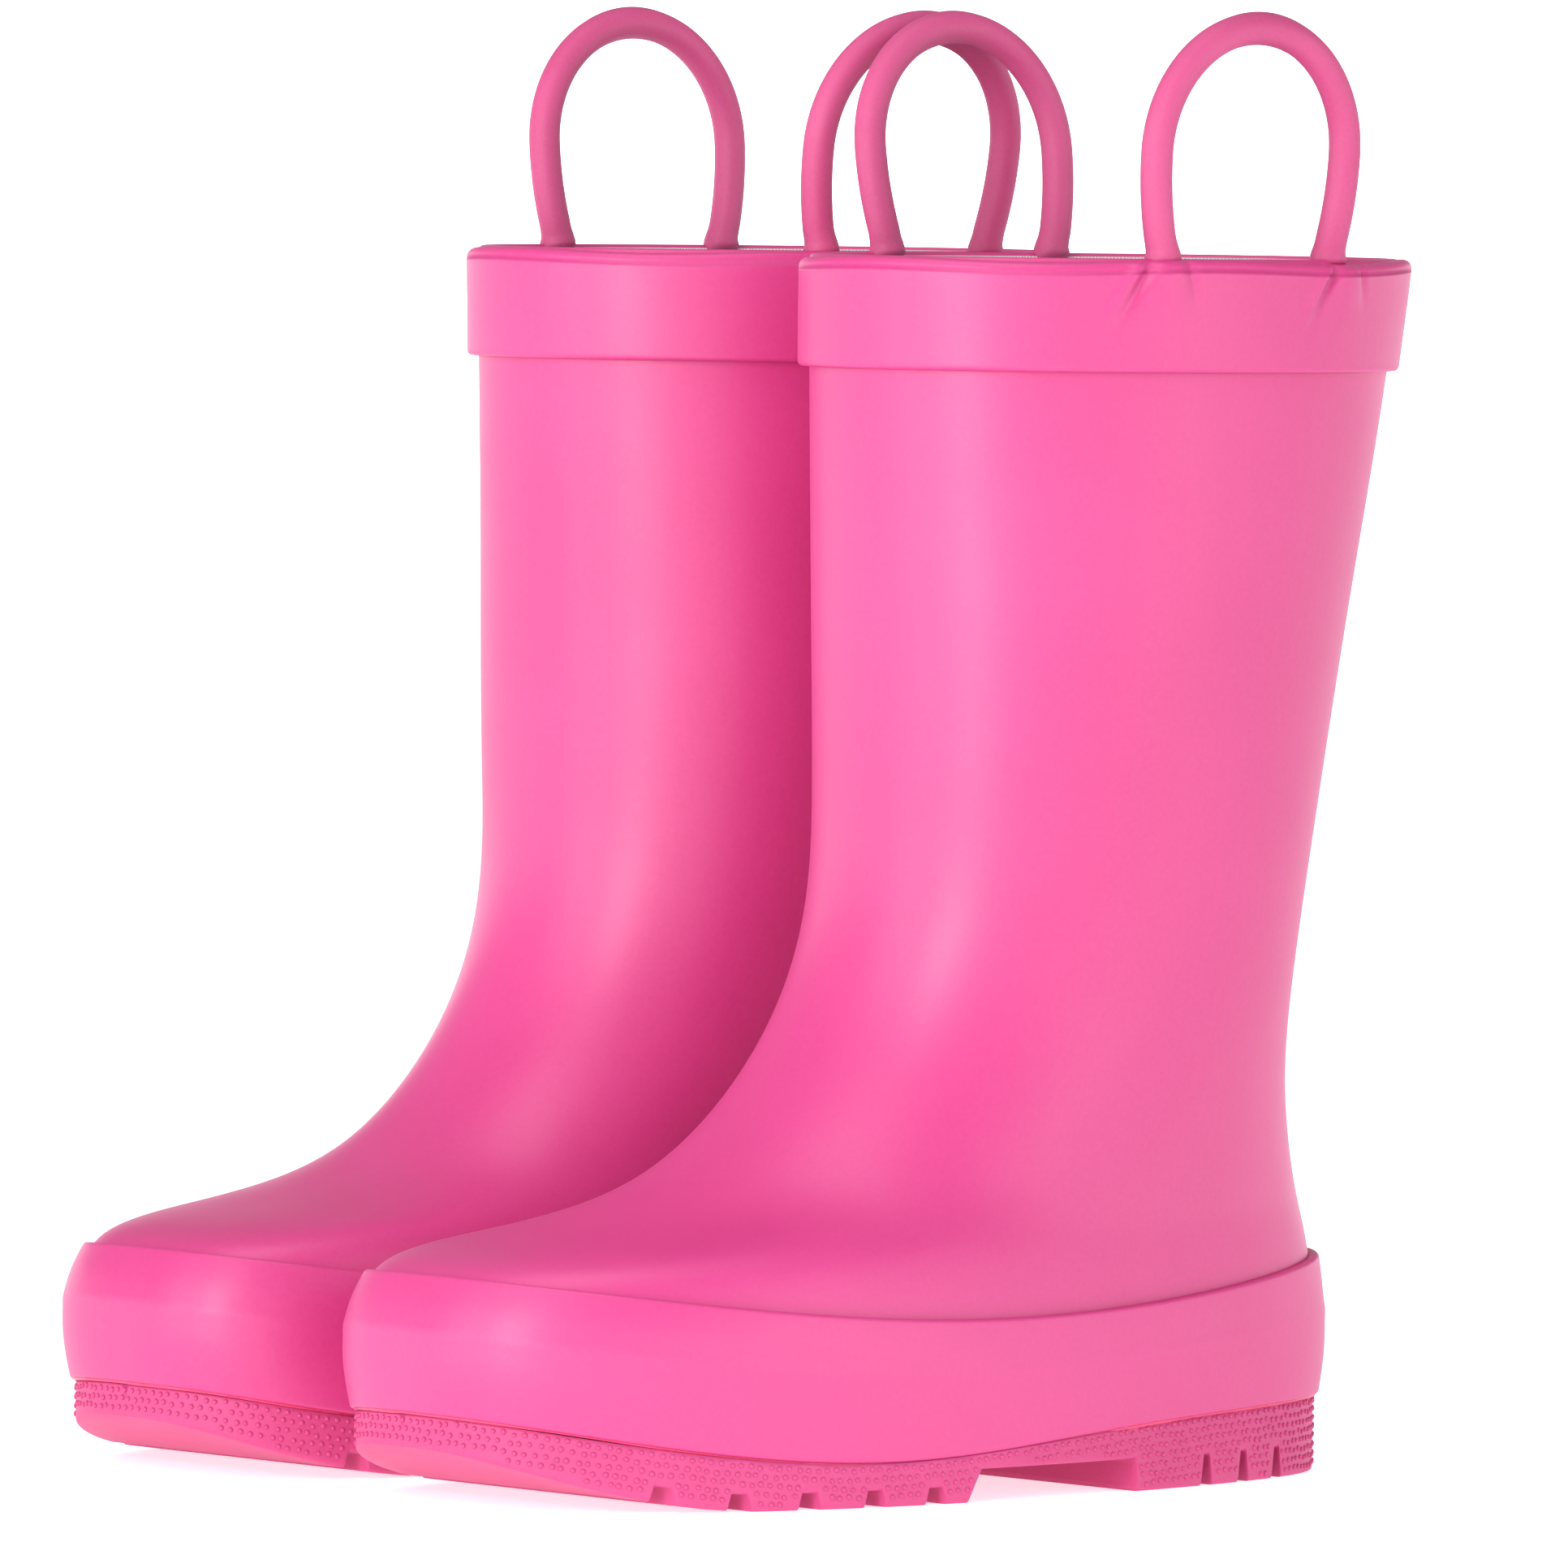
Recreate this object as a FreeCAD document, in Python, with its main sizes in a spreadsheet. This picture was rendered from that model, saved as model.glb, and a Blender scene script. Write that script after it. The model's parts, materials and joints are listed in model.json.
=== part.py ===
"""Pair of children's pull-on rubber rain boots.

Frame: millimetres, +Z up, toes towards -Y, the wearer's left boot at +X.  The origin is on the
floor under the middle of the pair.  A boot is drawn in its own frame first: +Y forward from the
back of the heel to the toe, +X to the inner side, and is then turned half round onto its place.
The left boot is modelled and the right boot mirrors it.
"""
import FreeCAD, Part
import math
import os
import Sketcher

doc = FreeCAD.newDocument("RainBoots")
sheet = doc.addObject("Spreadsheet::Sheet", "Dimensions")

# ---------------------------------------------------------------------------------- dimensions
# The outside of a boot is a stack of closed rings.  A ring has a front and a back point, each
# with a forward position and a height, a half width, the squareness of its outline (2 is an
# ellipse) and the share of the foot's own shape (bent toe, narrow heel) that it takes.
RING_FIELDS = ("Front", "FrontHeight", "Back", "BackHeight", "HalfWidth", "Squareness", "FootShare")

# Rings whose front is measured back from the tip of the toe.
TOE_RINGS = {
    "Ground": (4.5, 0, 2, 0, 38.5, 2.65, 1),
    "Welt": (1, 14, 0.5, 12, 40.5, 2.7, 1),
    "Bumper": (0, 30, -0.5, 26, 41, 2.75, 1),
    "Edge": (4, 38.5, 0.5, 37.5, 39.5, 2.7, 1),
    "Toebox": (23, 43, 3.5, 46, 35.5, 2.45, 0.9),
}
# Rings whose front is measured forward from the back of the heel.
LEG_RINGS = {
    "Vamp": (131, 51.5, 6.5, 60, 33.5, 2.3, 0.6),
    "Instep": (104, 77, 8.5, 76, 34, 2.2, 0.3),
    "Ankle": (95, 117, 5.5, 111, 37, 2.15, 0),
    "Calf": (96, 151, -2, 149, 39, 2.1, 0),
}
# Rings whose heights are measured up from the rim.
TOP_RINGS = {
    "Collar": (97.5, -18, -10, -18, 39.5, 2.1, 0),
    "Rim": (98, 0, -13, 0, 39.5, 2.1, 0),
}
SIZES = {
    # the pair
    "ToeForward": 188.5,          # from the back of the heel to the tip of the toe
    "RimHeight": 205,
    "Stance": 88,                 # between the two boots' centre lines
    "CentreForward": 86.94,       # this point of each boot is level with the origin
    "ToeBend": 7,                 # the toe swings this far to the inner side
    "HeelNarrowing": 0.16,        # share of the half width lost at the heel
    # rubber, cloth and board
    "UpperWall": 2,
    "StiffenerWall": 0.8,         # heel counter and toe puff, let into the upper
    "LiningWall": 0.9,
    "BoardWall": 1.5,
    "InsoleWall": 4,
    "InsoleClearance": 0.8,
    "GlueGap": 0.12,
    # the sloping plane that the upper is lasted on
    "LastHeel": 14.5,
    "LastToe": 22.5,
    # foxing, seen from the side
    "FoxingWall": 2.4,
    "SpongeGap": 0.6,             # of cement between the sponge and the foxing
    "FoxingDip": 30.5,
    "FoxingDipForward": 98,
    # outsole, seen from the side
    "SoleInset": 0.8,             # outsole's edge in from the foxing's
    "SoleTopHeel": 13,
    "SoleTopWaist": 10.8,
    "SoleTopBall": 7.2,
    "SoleTopToe": 17,
    "WaistForward": 66,
    "BallForward": 128,
    "ToeSpring": 10.5,            # height of the tread's tip above the floor
    "SpringLength": 46,           # of the tread's rising end
    "ArchBack": 63,
    "ArchFront": 103,
    "ArchRise": 5.5,
    "ArchSlant": 3,
    "NotchMouth": 4.4,
    "NotchRoof": 3,
    "NotchDepth": 2.8,
    "NotchPitch": 12.6,
    "NotchFirst": 110,
    "NotchCount": 5,
    "HeelNotchMouth": 3.2,
    "HeelNotchRoof": 1.6,
    "HeelNotchDepth": 5.2,
    "HeelNotchPitch": 10.4,
    "HeelNotchFirst": 24,
    "HeelNotchCount": 3,
    # heel counter and toe puff
    "CounterLength": 52,
    "CounterTop": 66,
    "PuffLength": 38,
    "PuffTop": 46,
    # collar band
    "BandHeight": 18,
    "BandWall": 2,
    "BandRoll": 0.6,              # the band's top edge above the rim
    # pull loops
    "LoopSpan": 42,               # between the legs of one loop
    "LoopForward": 42.5,          # middle of the loops
    "LoopCord": 2.7,              # radius of the round cord
    "LoopLeg": 14,                # straight length of each leg above its knuckle
    "LoopInset": 1.6,             # legs' middle in from the outside of the shaft
    "KnuckleRise": 4.7,           # knuckle centre above the rim
    "KnuckleGap": 0.4,
    "NeckRise": 0.8,              # bottom of the bonded leg's neck above the rim
    "TabWide": 9,
    "TabLong": 14,
    "TabWall": 1,
    "TabDepth": 0.4,              # of band rubber between a tab and the upper
    "OuterLean": 4,               # degrees away from the boot's middle
    "InnerLean": 7.5,
}


def fill_sheet():
    """Write every dimension into the sheet, one row each, with its name as the alias."""
    rows = dict(SIZES)
    for name, ring in dict(TOE_RINGS, **LEG_RINGS, **TOP_RINGS).items():
        rows.update({name + field: number for field, number in zip(RING_FIELDS, ring)})
    for row, (name, number) in enumerate(rows.items(), start=1):
        sheet.set(f"A{row}", name)
        sheet.set(f"B{row}", str(number))
        sheet.setAlias(f"B{row}", name)
    doc.recompute()


def size(name):
    """A dimension as the sheet holds it."""
    return float(sheet.get(name))


fill_sheet()

# ------------------------------------------------------------------------------- boot surfaces
FOXING_RINGS = ("Ground", "Welt", "Bumper", "Edge")
RING_POINTS = 28
BEND_START = 0.45                 # share of the foot's length where the toe starts to swing
BALL_SHARE = 0.69                 # share of the foot's length where it is full width
OVERRUN = 7.0                     # surfaces run this far past the rim before they are trimmed
SIDE_REACH = 60.0                 # side views are extruded this far to each side
FAR = 40.0                        # trimming shapes run this far past the boot
SEAM_OVERRUN = 8.0                # side views of seams run this far past heel and toe
FLOOR_OVERRUN = 1.0               # pockets in the tread start this far under the floor


def sheet_ring(name):
    """The sheet's ring as a dictionary, with its front and heights counted from the heel's back
    and the floor."""
    ring = {field: size(name + field) for field in RING_FIELDS}
    if name in TOE_RINGS:
        ring["Front"] = size("ToeForward") - ring["Front"]
    if name in TOP_RINGS:
        ring["FrontHeight"] += size("RimHeight")
        ring["BackHeight"] += size("RimHeight")
    return ring


def inset_ring(ring, inset):
    """A ring moved in by inset at its front, back and sides."""
    return dict(ring, Front=ring["Front"] - inset, Back=ring["Back"] + inset,
                HalfWidth=ring["HalfWidth"] - inset)


def raised_ring(ring, rise):
    """A ring moved straight up."""
    return dict(ring, FrontHeight=ring["FrontHeight"] + rise, BackHeight=ring["BackHeight"] + rise)


def ring_between(low, high, back_height, front_height):
    """The ring on the line through two rings whose back and front lie at the given heights."""
    base = low["BackHeight"] + low["FrontHeight"]
    share = (back_height + front_height - base) / (high["BackHeight"] + high["FrontHeight"] - base)
    ring = {field: low[field] + share * (high[field] - low[field]) for field in RING_FIELDS}
    return dict(ring, BackHeight=back_height, FrontHeight=front_height)


def ring_plane_height(ring, forward):
    """Height of a ring's plane at a forward position."""
    share = (forward - ring["Back"]) / (ring["Front"] - ring["Back"])
    return ring["BackHeight"] + share * (ring["FrontHeight"] - ring["BackHeight"])


def ring_points(ring):
    """Points round a ring: a superellipse, narrowed at the heel and bent in at the toe."""
    points = []
    power = 2 / ring["Squareness"]
    for number in range(RING_POINTS):
        angle = 2 * math.pi * number / RING_POINTS
        along = math.copysign(abs(math.cos(angle)) ** power, math.cos(angle))
        across = math.copysign(abs(math.sin(angle)) ** power, math.sin(angle))
        share = (along + 1) / 2
        forward = ring["Back"] + share * (ring["Front"] - ring["Back"])
        ball = min(share / BALL_SHARE, 1)
        widening = ball * ball * (3 - 2 * ball)
        width = ring["HalfWidth"] * (1 - size("HeelNarrowing") * ring["FootShare"] * (1 - widening))
        bend = size("ToeBend") * ring["FootShare"] * max((share - BEND_START) / (1 - BEND_START), 0) ** 2
        points.append(FreeCAD.Vector(bend - across * width, forward, ring_plane_height(ring, forward)))
    return points


def offset_rows(rings, inset):
    """Rows of points on the surface through the rings, moved in along its normal.

    The end rows stay in their own planes, so that the solid can be capped there."""
    rows = [ring_points(ring) for ring in rings]
    last = len(rows) - 1
    moved = []
    for index, row in enumerate(rows):
        below, above = rows[max(index - 1, 0)], rows[min(index + 1, last)]
        new_row = []
        for number, point in enumerate(row):
            around = row[(number + 1) % RING_POINTS] - row[number - 1]
            upward = FreeCAD.Vector(0, 0, 1) if index in (0, last) else above[number] - below[number]
            target = point + around.cross(upward).normalize() * -inset
            if index in (0, last):
                target.z = ring_plane_height(rings[index], target.y)
            new_row.append(target)
        moved.append(new_row)
    return moved


def closed_curve(points):
    curve = Part.BSplineCurve()
    curve.interpolate(Points=points, PeriodicFlag=True)
    return curve


def ring_wire(points):
    """A smooth closed wire through points, in four edges so that every face of a loft is small."""
    curve = closed_curve(points)
    start, period = curve.FirstParameter, curve.LastParameter - curve.FirstParameter
    quarters = [start + period * number / 4 for number in range(5)]
    return Part.Wire([curve.toShape(*span) for span in zip(quarters, quarters[1:])])


def feature(name, shape):
    """A document object that holds a shape worked out from the sheet."""
    part = doc.addObject("Part::Feature", name)
    part.Shape = shape
    return part


def loft(name, rows):
    """A closed solid through rows of points."""
    return feature(name, Part.makeLoft([ring_wire(row) for row in rows], True, False))


def welt_inset():
    """The upper's outside lies this far inside the foxing's."""
    return size("FoxingWall") + size("GlueGap")


def last_ring(inset, lift):
    """The ring on the lasting plane, raised by lift, inset from the foxing's outside."""
    ring = ring_between(sheet_ring("Welt"), sheet_ring("Bumper"),
                        size("LastHeel") + lift, size("LastToe") + lift)
    return inset_ring(ring, inset)


def upper_rings():
    """The upper's outside, from under the floor to past the rim."""
    foot = [inset_ring(sheet_ring(name), welt_inset()) for name in FOXING_RINGS]
    legs = [sheet_ring(name) for name in ("Toebox", *LEG_RINGS, *TOP_RINGS)]
    height = size("RimHeight") + OVERRUN
    return [raised_ring(foot[0], -FLOOR_OVERRUN), *foot[1:], *legs,
            ring_between(*legs[-2:], height, height)]


def skin(name, inset):
    """The solid inside the upper's outside moved in by inset, from the floor to past the rim."""
    return loft(name, offset_rows(upper_rings(), inset))


# ----------------------------------------------------------------------------- document objects
def cut(name, base, tool):
    part = doc.addObject("Part::Cut", name)
    part.Base, part.Tool = base, tool
    return part


def common(name, *shapes):
    part = doc.addObject("Part::MultiCommon", name)
    part.Shapes = list(shapes)
    return part


def fuse(name, *shapes):
    part = doc.addObject("Part::MultiFuse", name)
    part.Shapes = list(shapes)
    return part


def at(forward, height):
    """A point of a side view: forward, then up."""
    return FreeCAD.Vector(forward, height, 0)


def lines(*corners):
    """The straight edges of a side view from corner to corner."""
    return [Part.LineSegment(first, second) for first, second in zip(corners, corners[1:])]


def spline(points):
    curve = Part.BSplineCurve()
    curve.interpolate(points)
    return curve


def side_view(name, curves):
    """The solid swept to both sides by a closed side view."""
    sketch = doc.addObject("Sketcher::SketchObject", name + "_side_view")
    sketch.Placement.Rotation = FreeCAD.Rotation(
        FreeCAD.Vector(0, 1, 0), FreeCAD.Vector(0, 0, 1), FreeCAD.Vector(1, 0, 0), "ZXY")
    for curve in curves:
        sketch.addGeometry(curve, False)
    part = doc.addObject("Part::Extrusion", name)
    part.Base, part.DirMode, part.Dir = sketch, "Custom", FreeCAD.Vector(1, 0, 0)
    part.LengthFwd, part.Solid, part.Symmetric = 2 * SIDE_REACH, True, True
    return part


def slab(name, low, high):
    """Everything between two heights."""
    back, front = -FAR, size("ToeForward") + FAR
    return side_view(name, lines(at(back, low), at(front, low), at(front, high), at(back, high),
                                 at(back, low)))


def last_height(forward, lift):
    """Height of the sloping plane that the upper is lasted on, raised by lift."""
    plane = last_ring(welt_inset(), lift)
    return ring_plane_height(plane, forward)


def room(name, shape, lift, top):
    """The part of a skin between the lasting plane, raised by lift, and a height."""
    back, front = -FAR, size("ToeForward") + FAR
    low, high = at(back, last_height(back, lift)), at(front, last_height(front, lift))
    trim = side_view(name + "_trim", lines(low, high, at(front, top), at(back, top), low))
    return common(name, shape, trim)


def sole_top(rise):
    """Side view of the seam between foxing and outsole, raised by rise."""
    return [at(-SEAM_OVERRUN, size("SoleTopHeel") + rise),
            at(size("WaistForward"), size("SoleTopWaist") + rise),
            at(size("BallForward"), size("SoleTopBall") + rise),
            at(size("ToeForward") + SEAM_OVERRUN, size("SoleTopToe") + rise)]


def origin_item(body, role):
    return next(item for item in body.Origin.OriginFeatures if item.Role == role)


def body_sketch(body, name, role):
    """A sketch on one of the body's own origin planes."""
    sketch = body.newObject("Sketcher::SketchObject", name)
    sketch.AttachmentSupport = [(origin_item(body, role), "")]
    sketch.MapMode = "FlatFace"
    return sketch


def sheet_piece(name, outline, thickness):
    """A body cut from sheet: a closed outline on the XY plane, padded by an expression."""
    body = doc.addObject("PartDesign::Body", name)
    sketch = body_sketch(body, name + "_outline", "XY_Plane")
    flat = [FreeCAD.Vector(corner.x, corner.y, 0) for corner in ring_points(outline)]
    sketch.addGeometry(closed_curve(flat), False)
    pad = body.newObject("PartDesign::Pad", name + "_pad")
    pad.Profile = sketch
    pad.setExpression("Length", thickness)
    return body


def pocket_across(body, sketch):
    """Cut a side view, drawn on the body's YZ plane, right across the body."""
    pocket = body.newObject("PartDesign::Pocket", sketch.Name + "_pocket")
    pocket.Profile, pocket.Type, pocket.SideType = sketch, "Length", "Symmetric"
    pocket.Length = 2 * SIDE_REACH
    body.Tip = pocket
    return pocket


def pocket_curves(body, name, curves):
    """Cut a closed side view made of curves."""
    sketch = body_sketch(body, name, "YZ_Plane")
    for curve in curves:
        sketch.addGeometry(curve, False)
    return pocket_across(body, sketch)


def pocket_corners(body, name, corners):
    """Cut a polygon whose corners are pairs of sheet expressions, forward and up."""
    sketch = body_sketch(body, name, "YZ_Plane")
    spots = [at(*(sheet.evalExpression(text) for text in corner)) for corner in corners]
    for edge in lines(*spots, spots[0]):
        sketch.addGeometry(edge, False)
    for number, corner in enumerate(corners):
        following = (number + 1) % len(corners)
        sketch.addConstraint(Sketcher.Constraint("Coincident", number, 2, following, 1))
        for kind, text in zip(("DistanceX", "DistanceY"), corner):
            value = sheet.evalExpression(text)
            index = sketch.addConstraint(Sketcher.Constraint(kind, -1, 1, number, 1, value))
            sketch.setExpression(f"Constraints[{index}]", text)
    return pocket_across(body, sketch)


def repeat_forward(body, pocket, pitch, count):
    """Repeat a pocket along the boot; the sheet holds its pitch and count."""
    pattern = body.newObject("PartDesign::LinearPattern", pocket.Name + "s")
    pattern.Originals = [pocket]
    pattern.Direction = (origin_item(body, "Y_Axis"), [""])
    pattern.setExpression("Length", f"Dimensions.{pitch} * (Dimensions.{count} - 1)")
    pattern.setExpression("Occurrences", f"Dimensions.{count}")
    body.Tip = pattern


# ------------------------------------------------------------------------------- a left boot
def tread_notch(body, name, first, mouth, roof, depth):
    """A trapezoid notch across the tread; the arguments are names in the sheet."""
    middle, half_mouth = f"Dimensions.{first}", f"Dimensions.{mouth} / 2"
    half_roof, height = f"Dimensions.{roof} / 2", f"Dimensions.{depth}"
    under = f"-{FLOOR_OVERRUN}"
    return pocket_corners(body, name, [
        (f"{middle} - {half_mouth}", under), (f"{middle} + {half_mouth}", under),
        (f"{middle} + {half_roof}", height), (f"{middle} - {half_roof}", height)])


def make_outsole():
    """The moulded outsole: a slab cut to its side view, an arch and two sets of notches."""
    outline = inset_ring(sheet_ring("Welt"), size("SoleInset"))
    body = sheet_piece("left_outsole", outline, "Dimensions.SoleTopHeel + Dimensions.SoleTopToe")
    seam = sole_top(0)
    far_up = size("SoleTopHeel") + size("SoleTopToe") + FLOOR_OVERRUN
    pocket_curves(body, "outsole_top", [spline(seam)] + lines(
        seam[-1], at(seam[-1].x, far_up), at(seam[0].x, far_up), seam[0]))
    length = size("SpringLength")
    start = size("ToeForward") - length
    reach = length + SEAM_OVERRUN
    spring = [at(start + reach * share, size("ToeSpring") * (reach * share / length) ** 2)
              for share in (0, 1 / 3, 2 / 3, 1)]
    pocket_curves(body, "toe_spring", [spline(spring)] + lines(
        spring[-1], at(spring[-1].x, -FLOOR_OVERRUN), at(start, -FLOOR_OVERRUN), spring[0]))
    under = f"-{FLOOR_OVERRUN}"
    pocket_corners(body, "arch", [
        ("Dimensions.ArchBack", under), ("Dimensions.ArchFront", under),
        ("Dimensions.ArchFront - Dimensions.ArchSlant", "Dimensions.ArchRise"),
        ("Dimensions.ArchBack", "Dimensions.ArchRise")])
    notch = tread_notch(body, "notch", "NotchFirst", "NotchMouth", "NotchRoof", "NotchDepth")
    repeat_forward(body, notch, "NotchPitch", "NotchCount")
    heel = tread_notch(body, "heel_notch", "HeelNotchFirst", "HeelNotchMouth", "HeelNotchRoof",
                       "HeelNotchDepth")
    repeat_forward(body, heel, "HeelNotchPitch", "HeelNotchCount")
    return body


def make_foxing(upper_room):
    """The bumper band: the space between its outside and the upper, cut to its side view."""
    gap = size("GlueGap")
    outside = [sheet_ring(name) for name in FOXING_RINGS]
    seam = sole_top(gap)
    edge = outside[-1]
    top = [at(seam[-1].x, edge["FrontHeight"] + FLOOR_OVERRUN),
           at(size("FoxingDipForward"), size("FoxingDip")),
           at(seam[0].x, edge["BackHeight"] + FLOOR_OVERRUN)]
    band = side_view("foxing_band", [spline(seam), *lines(seam[-1], top[0]), spline(top),
                                     *lines(top[-1], seam[0])])
    solid = loft("foxing_outside", [ring_points(ring) for ring in outside])
    return cut("left_foxing", common("foxing_blank", solid, band), upper_room)


def make_sponge():
    """The sponge that fills the foot between the outsole and the lasted upper."""
    gap = size("GlueGap")
    height = size("SoleTopBall")
    ring = ring_between(sheet_ring("Ground"), sheet_ring("Welt"), height, height)
    body = sheet_piece("left_sponge_midsole", inset_ring(ring, size("FoxingWall") + size("SpongeGap")),
                       "Dimensions.LastToe + Dimensions.LastHeel")
    seam = sole_top(gap)
    pocket_curves(body, "sponge_under", [spline(seam)] + lines(
        seam[-1], at(seam[-1].x, -FLOOR_OVERRUN), at(seam[0].x, -FLOOR_OVERRUN), seam[0]))
    back, front = seam[0].x, seam[-1].x
    far_up = size("LastToe") + size("LastHeel") + FLOOR_OVERRUN
    low, high = at(back, last_height(back, -gap)), at(front, last_height(front, -gap))
    pocket_curves(body, "sponge_top", lines(low, high, at(front, far_up), at(back, far_up), low))
    return body


def lay_on_last(body, lift):
    """Put a sheet piece on the lasting plane, raised by lift."""
    plane = last_ring(welt_inset(), lift)
    slope = math.atan2(plane["FrontHeight"] - plane["BackHeight"], plane["Front"] - plane["Back"])
    body.Placement = FreeCAD.Placement(
        FreeCAD.Vector(0, 0, ring_plane_height(plane, 0)),
        FreeCAD.Rotation(FreeCAD.Vector(1, 0, 0), math.degrees(slope)))
    return body


def make_board(lift):
    inset = welt_inset() + size("UpperWall") + size("InsoleClearance")
    board = sheet_piece("left_lasting_board", last_ring(inset, lift), "Dimensions.BoardWall")
    return lay_on_last(board, lift)


def make_insole(lift):
    inset = welt_inset() + size("UpperWall") + size("LiningWall") + size("InsoleClearance")
    insole = sheet_piece("left_insole", last_ring(inset, lift), "Dimensions.InsoleWall")
    return lay_on_last(insole, lift)


def loop_side():
    """Sideways distance of a loop's legs from the boot's middle."""
    ring = sheet_ring("Rim")
    share = size("LoopSpan") / (ring["Front"] - ring["Back"])
    power = ring["Squareness"]
    return ring["HalfWidth"] * (1 - share ** power) ** (1 / power) - size("LoopInset")


def leg_spots():
    """Forward positions of a loop's two legs."""
    return [size("LoopForward") + sign * size("LoopSpan") / 2 for sign in (-1, 1)]


def make_handle(name, inward, lean):
    """A pull loop: a half ring on two legs that end in round knuckles on the hinge axis."""
    arch = doc.addObject("Part::Torus", name + "_arch")
    arch.setExpression("Radius1", "Dimensions.LoopSpan / 2")
    arch.setExpression("Radius2", "Dimensions.LoopCord")
    arch.Angle3 = 180
    arch.Placement.Rotation = FreeCAD.Rotation(
        FreeCAD.Vector(0, 1, 0), FreeCAD.Vector(0, 0, 1), FreeCAD.Vector(1, 0, 0), "ZXY")
    arch.setExpression(".Placement.Base.z", "Dimensions.LoopLeg")
    pieces = [arch]
    for end, sign in (("back", "-"), ("front", "")):
        leg = doc.addObject("Part::Cylinder", f"{name}_{end}_leg")
        leg.setExpression("Radius", "Dimensions.LoopCord")
        leg.setExpression("Height", "Dimensions.LoopLeg")
        knuckle = doc.addObject("Part::Sphere", f"{name}_{end}_knuckle")
        knuckle.setExpression("Radius", "Dimensions.LoopCord")
        for piece in (leg, knuckle):
            piece.setExpression(".Placement.Base.y", f"{sign}Dimensions.LoopSpan / 2")
            pieces.append(piece)
    loop = fuse(name, *pieces)
    loop.Placement = FreeCAD.Placement(
        FreeCAD.Vector(inward * loop_side(), size("LoopForward"),
                       size("RimHeight") + size("KnuckleRise")),
        FreeCAD.Rotation(FreeCAD.Vector(0, 1, 0), inward * lean))
    return loop


def make_tabs(name, inward, tab_shell):
    """The flat tabs that hold a loop's legs inside the collar band."""
    side, wide = inward * loop_side(), size("TabWide")
    neck_top = size("KnuckleRise") - size("LoopCord") - size("KnuckleGap")
    tabs = []
    for end, forward in zip(("back", "front"), leg_spots()):
        region = doc.addObject("Part::Box", f"{name}_{end}_tab_region")
        region.Length, region.Width = wide, wide
        region.Height = size("TabLong") + (size("NeckRise") + neck_top) / 2
        region.Placement.Base = FreeCAD.Vector(side - wide / 2, forward - wide / 2,
                                               size("RimHeight") - size("TabLong"))
        tabs.append(common(f"{name}_{end}_tab", region, tab_shell))
    return tabs


def make_roots(name, inward, tabs):
    """The two bonded legs of a loop: the tabs in the band, each with a round neck above it."""
    necks = []
    for end, forward in zip(("back", "front"), leg_spots()):
        neck = doc.addObject("Part::Cylinder", f"{name}_{end}_neck")
        neck.setExpression("Radius", "Dimensions.LoopCord")
        neck.setExpression("Height", "Dimensions.KnuckleRise - Dimensions.LoopCord"
                                     " - Dimensions.KnuckleGap - Dimensions.NeckRise")
        neck.Placement.Base = FreeCAD.Vector(inward * loop_side(), forward,
                                             size("RimHeight") + size("NeckRise"))
        necks.append(neck)
    return fuse(name, *tabs, *necks)


def make_left_boot():
    """Every piece of the left boot in the boot's own frame."""
    gap, wall, rim = size("GlueGap"), size("UpperWall"), size("RimHeight")
    board_lift = wall + gap
    lining_lift = board_lift + size("BoardWall") + gap
    lining_inset = wall + gap
    room_lift = lining_lift + size("LiningWall")

    inside = skin("upper_inside", wall)
    glued = skin("upper_and_glue", -gap)
    above_lining = room("stiffener_room", skin("stiffener_outside", wall - size("StiffenerWall")),
                        lining_lift, size("CounterTop"))
    toe, top = size("ToeForward"), size("CounterTop")
    counter_view = lines(at(-FAR, 0), at(size("CounterLength"), 0), at(size("CounterLength") / 2, top),
                         at(-FAR, top), at(-FAR, 0))
    puff_back, puff_top = toe - size("PuffLength"), size("PuffTop")
    puff_view = lines(at(puff_back, 0), at(toe + FAR, 0), at(toe + FAR, puff_top),
                      at(puff_back, puff_top), at(puff_back, 0))
    counter_room = common("counter_room", above_lining, side_view("counter_cut", counter_view))
    puff_room = common("puff_room", above_lining, side_view("puff_cut", puff_view))
    counter = cut("left_heel_counter", counter_room, inside)
    puff = cut("left_toe_puff", puff_room, inside)

    shell = cut("upper_shell", room("upper_room", skin("upper_outside", 0), 0, rim),
                room("foot_room", inside, wall, rim + OVERRUN / 2))
    upper = cut("left_upper", shell, fuse("stiffener_rooms", counter_room, puff_room))
    lining_room = skin("lining_inside", lining_inset + size("LiningWall"))
    lining = cut("left_lining", room("lining_blank", skin("lining_outside", lining_inset),
                                     lining_lift, rim - gap),
                 room("sock_room", lining_room, room_lift, rim + OVERRUN / 2))

    tab_inset = -gap - size("TabDepth")
    tab_shell = cut("tab_shell", skin("tab_outside", tab_inset - size("TabWall")),
                    skin("tab_inside", tab_inset))
    outer_tabs = make_tabs("outer", -1, tab_shell)
    inner_tabs = make_tabs("inner", 1, tab_shell)
    band_slab = slab("band_trim", rim - size("BandHeight"), rim + size("BandRoll"))
    band = cut("band_hollow", common("band_blank", skin("band_outside", -size("BandWall")), band_slab),
               glued)
    band = cut("left_top_band", band, fuse("tab_rooms", *outer_tabs, *inner_tabs))
    outer_roots = make_roots("left_outer_handle_roots", -1, outer_tabs)
    inner_roots = make_roots("left_inner_handle_roots", 1, inner_tabs)

    return [upper, lining, counter, puff, band, outer_roots, inner_roots,
            make_handle("left_outer_handle", -1, size("OuterLean")),
            make_handle("left_inner_handle", 1, size("InnerLean")),
            make_foxing(glued), make_outsole(), make_sponge(), make_board(board_lift),
            make_insole(room_lift)]


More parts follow.
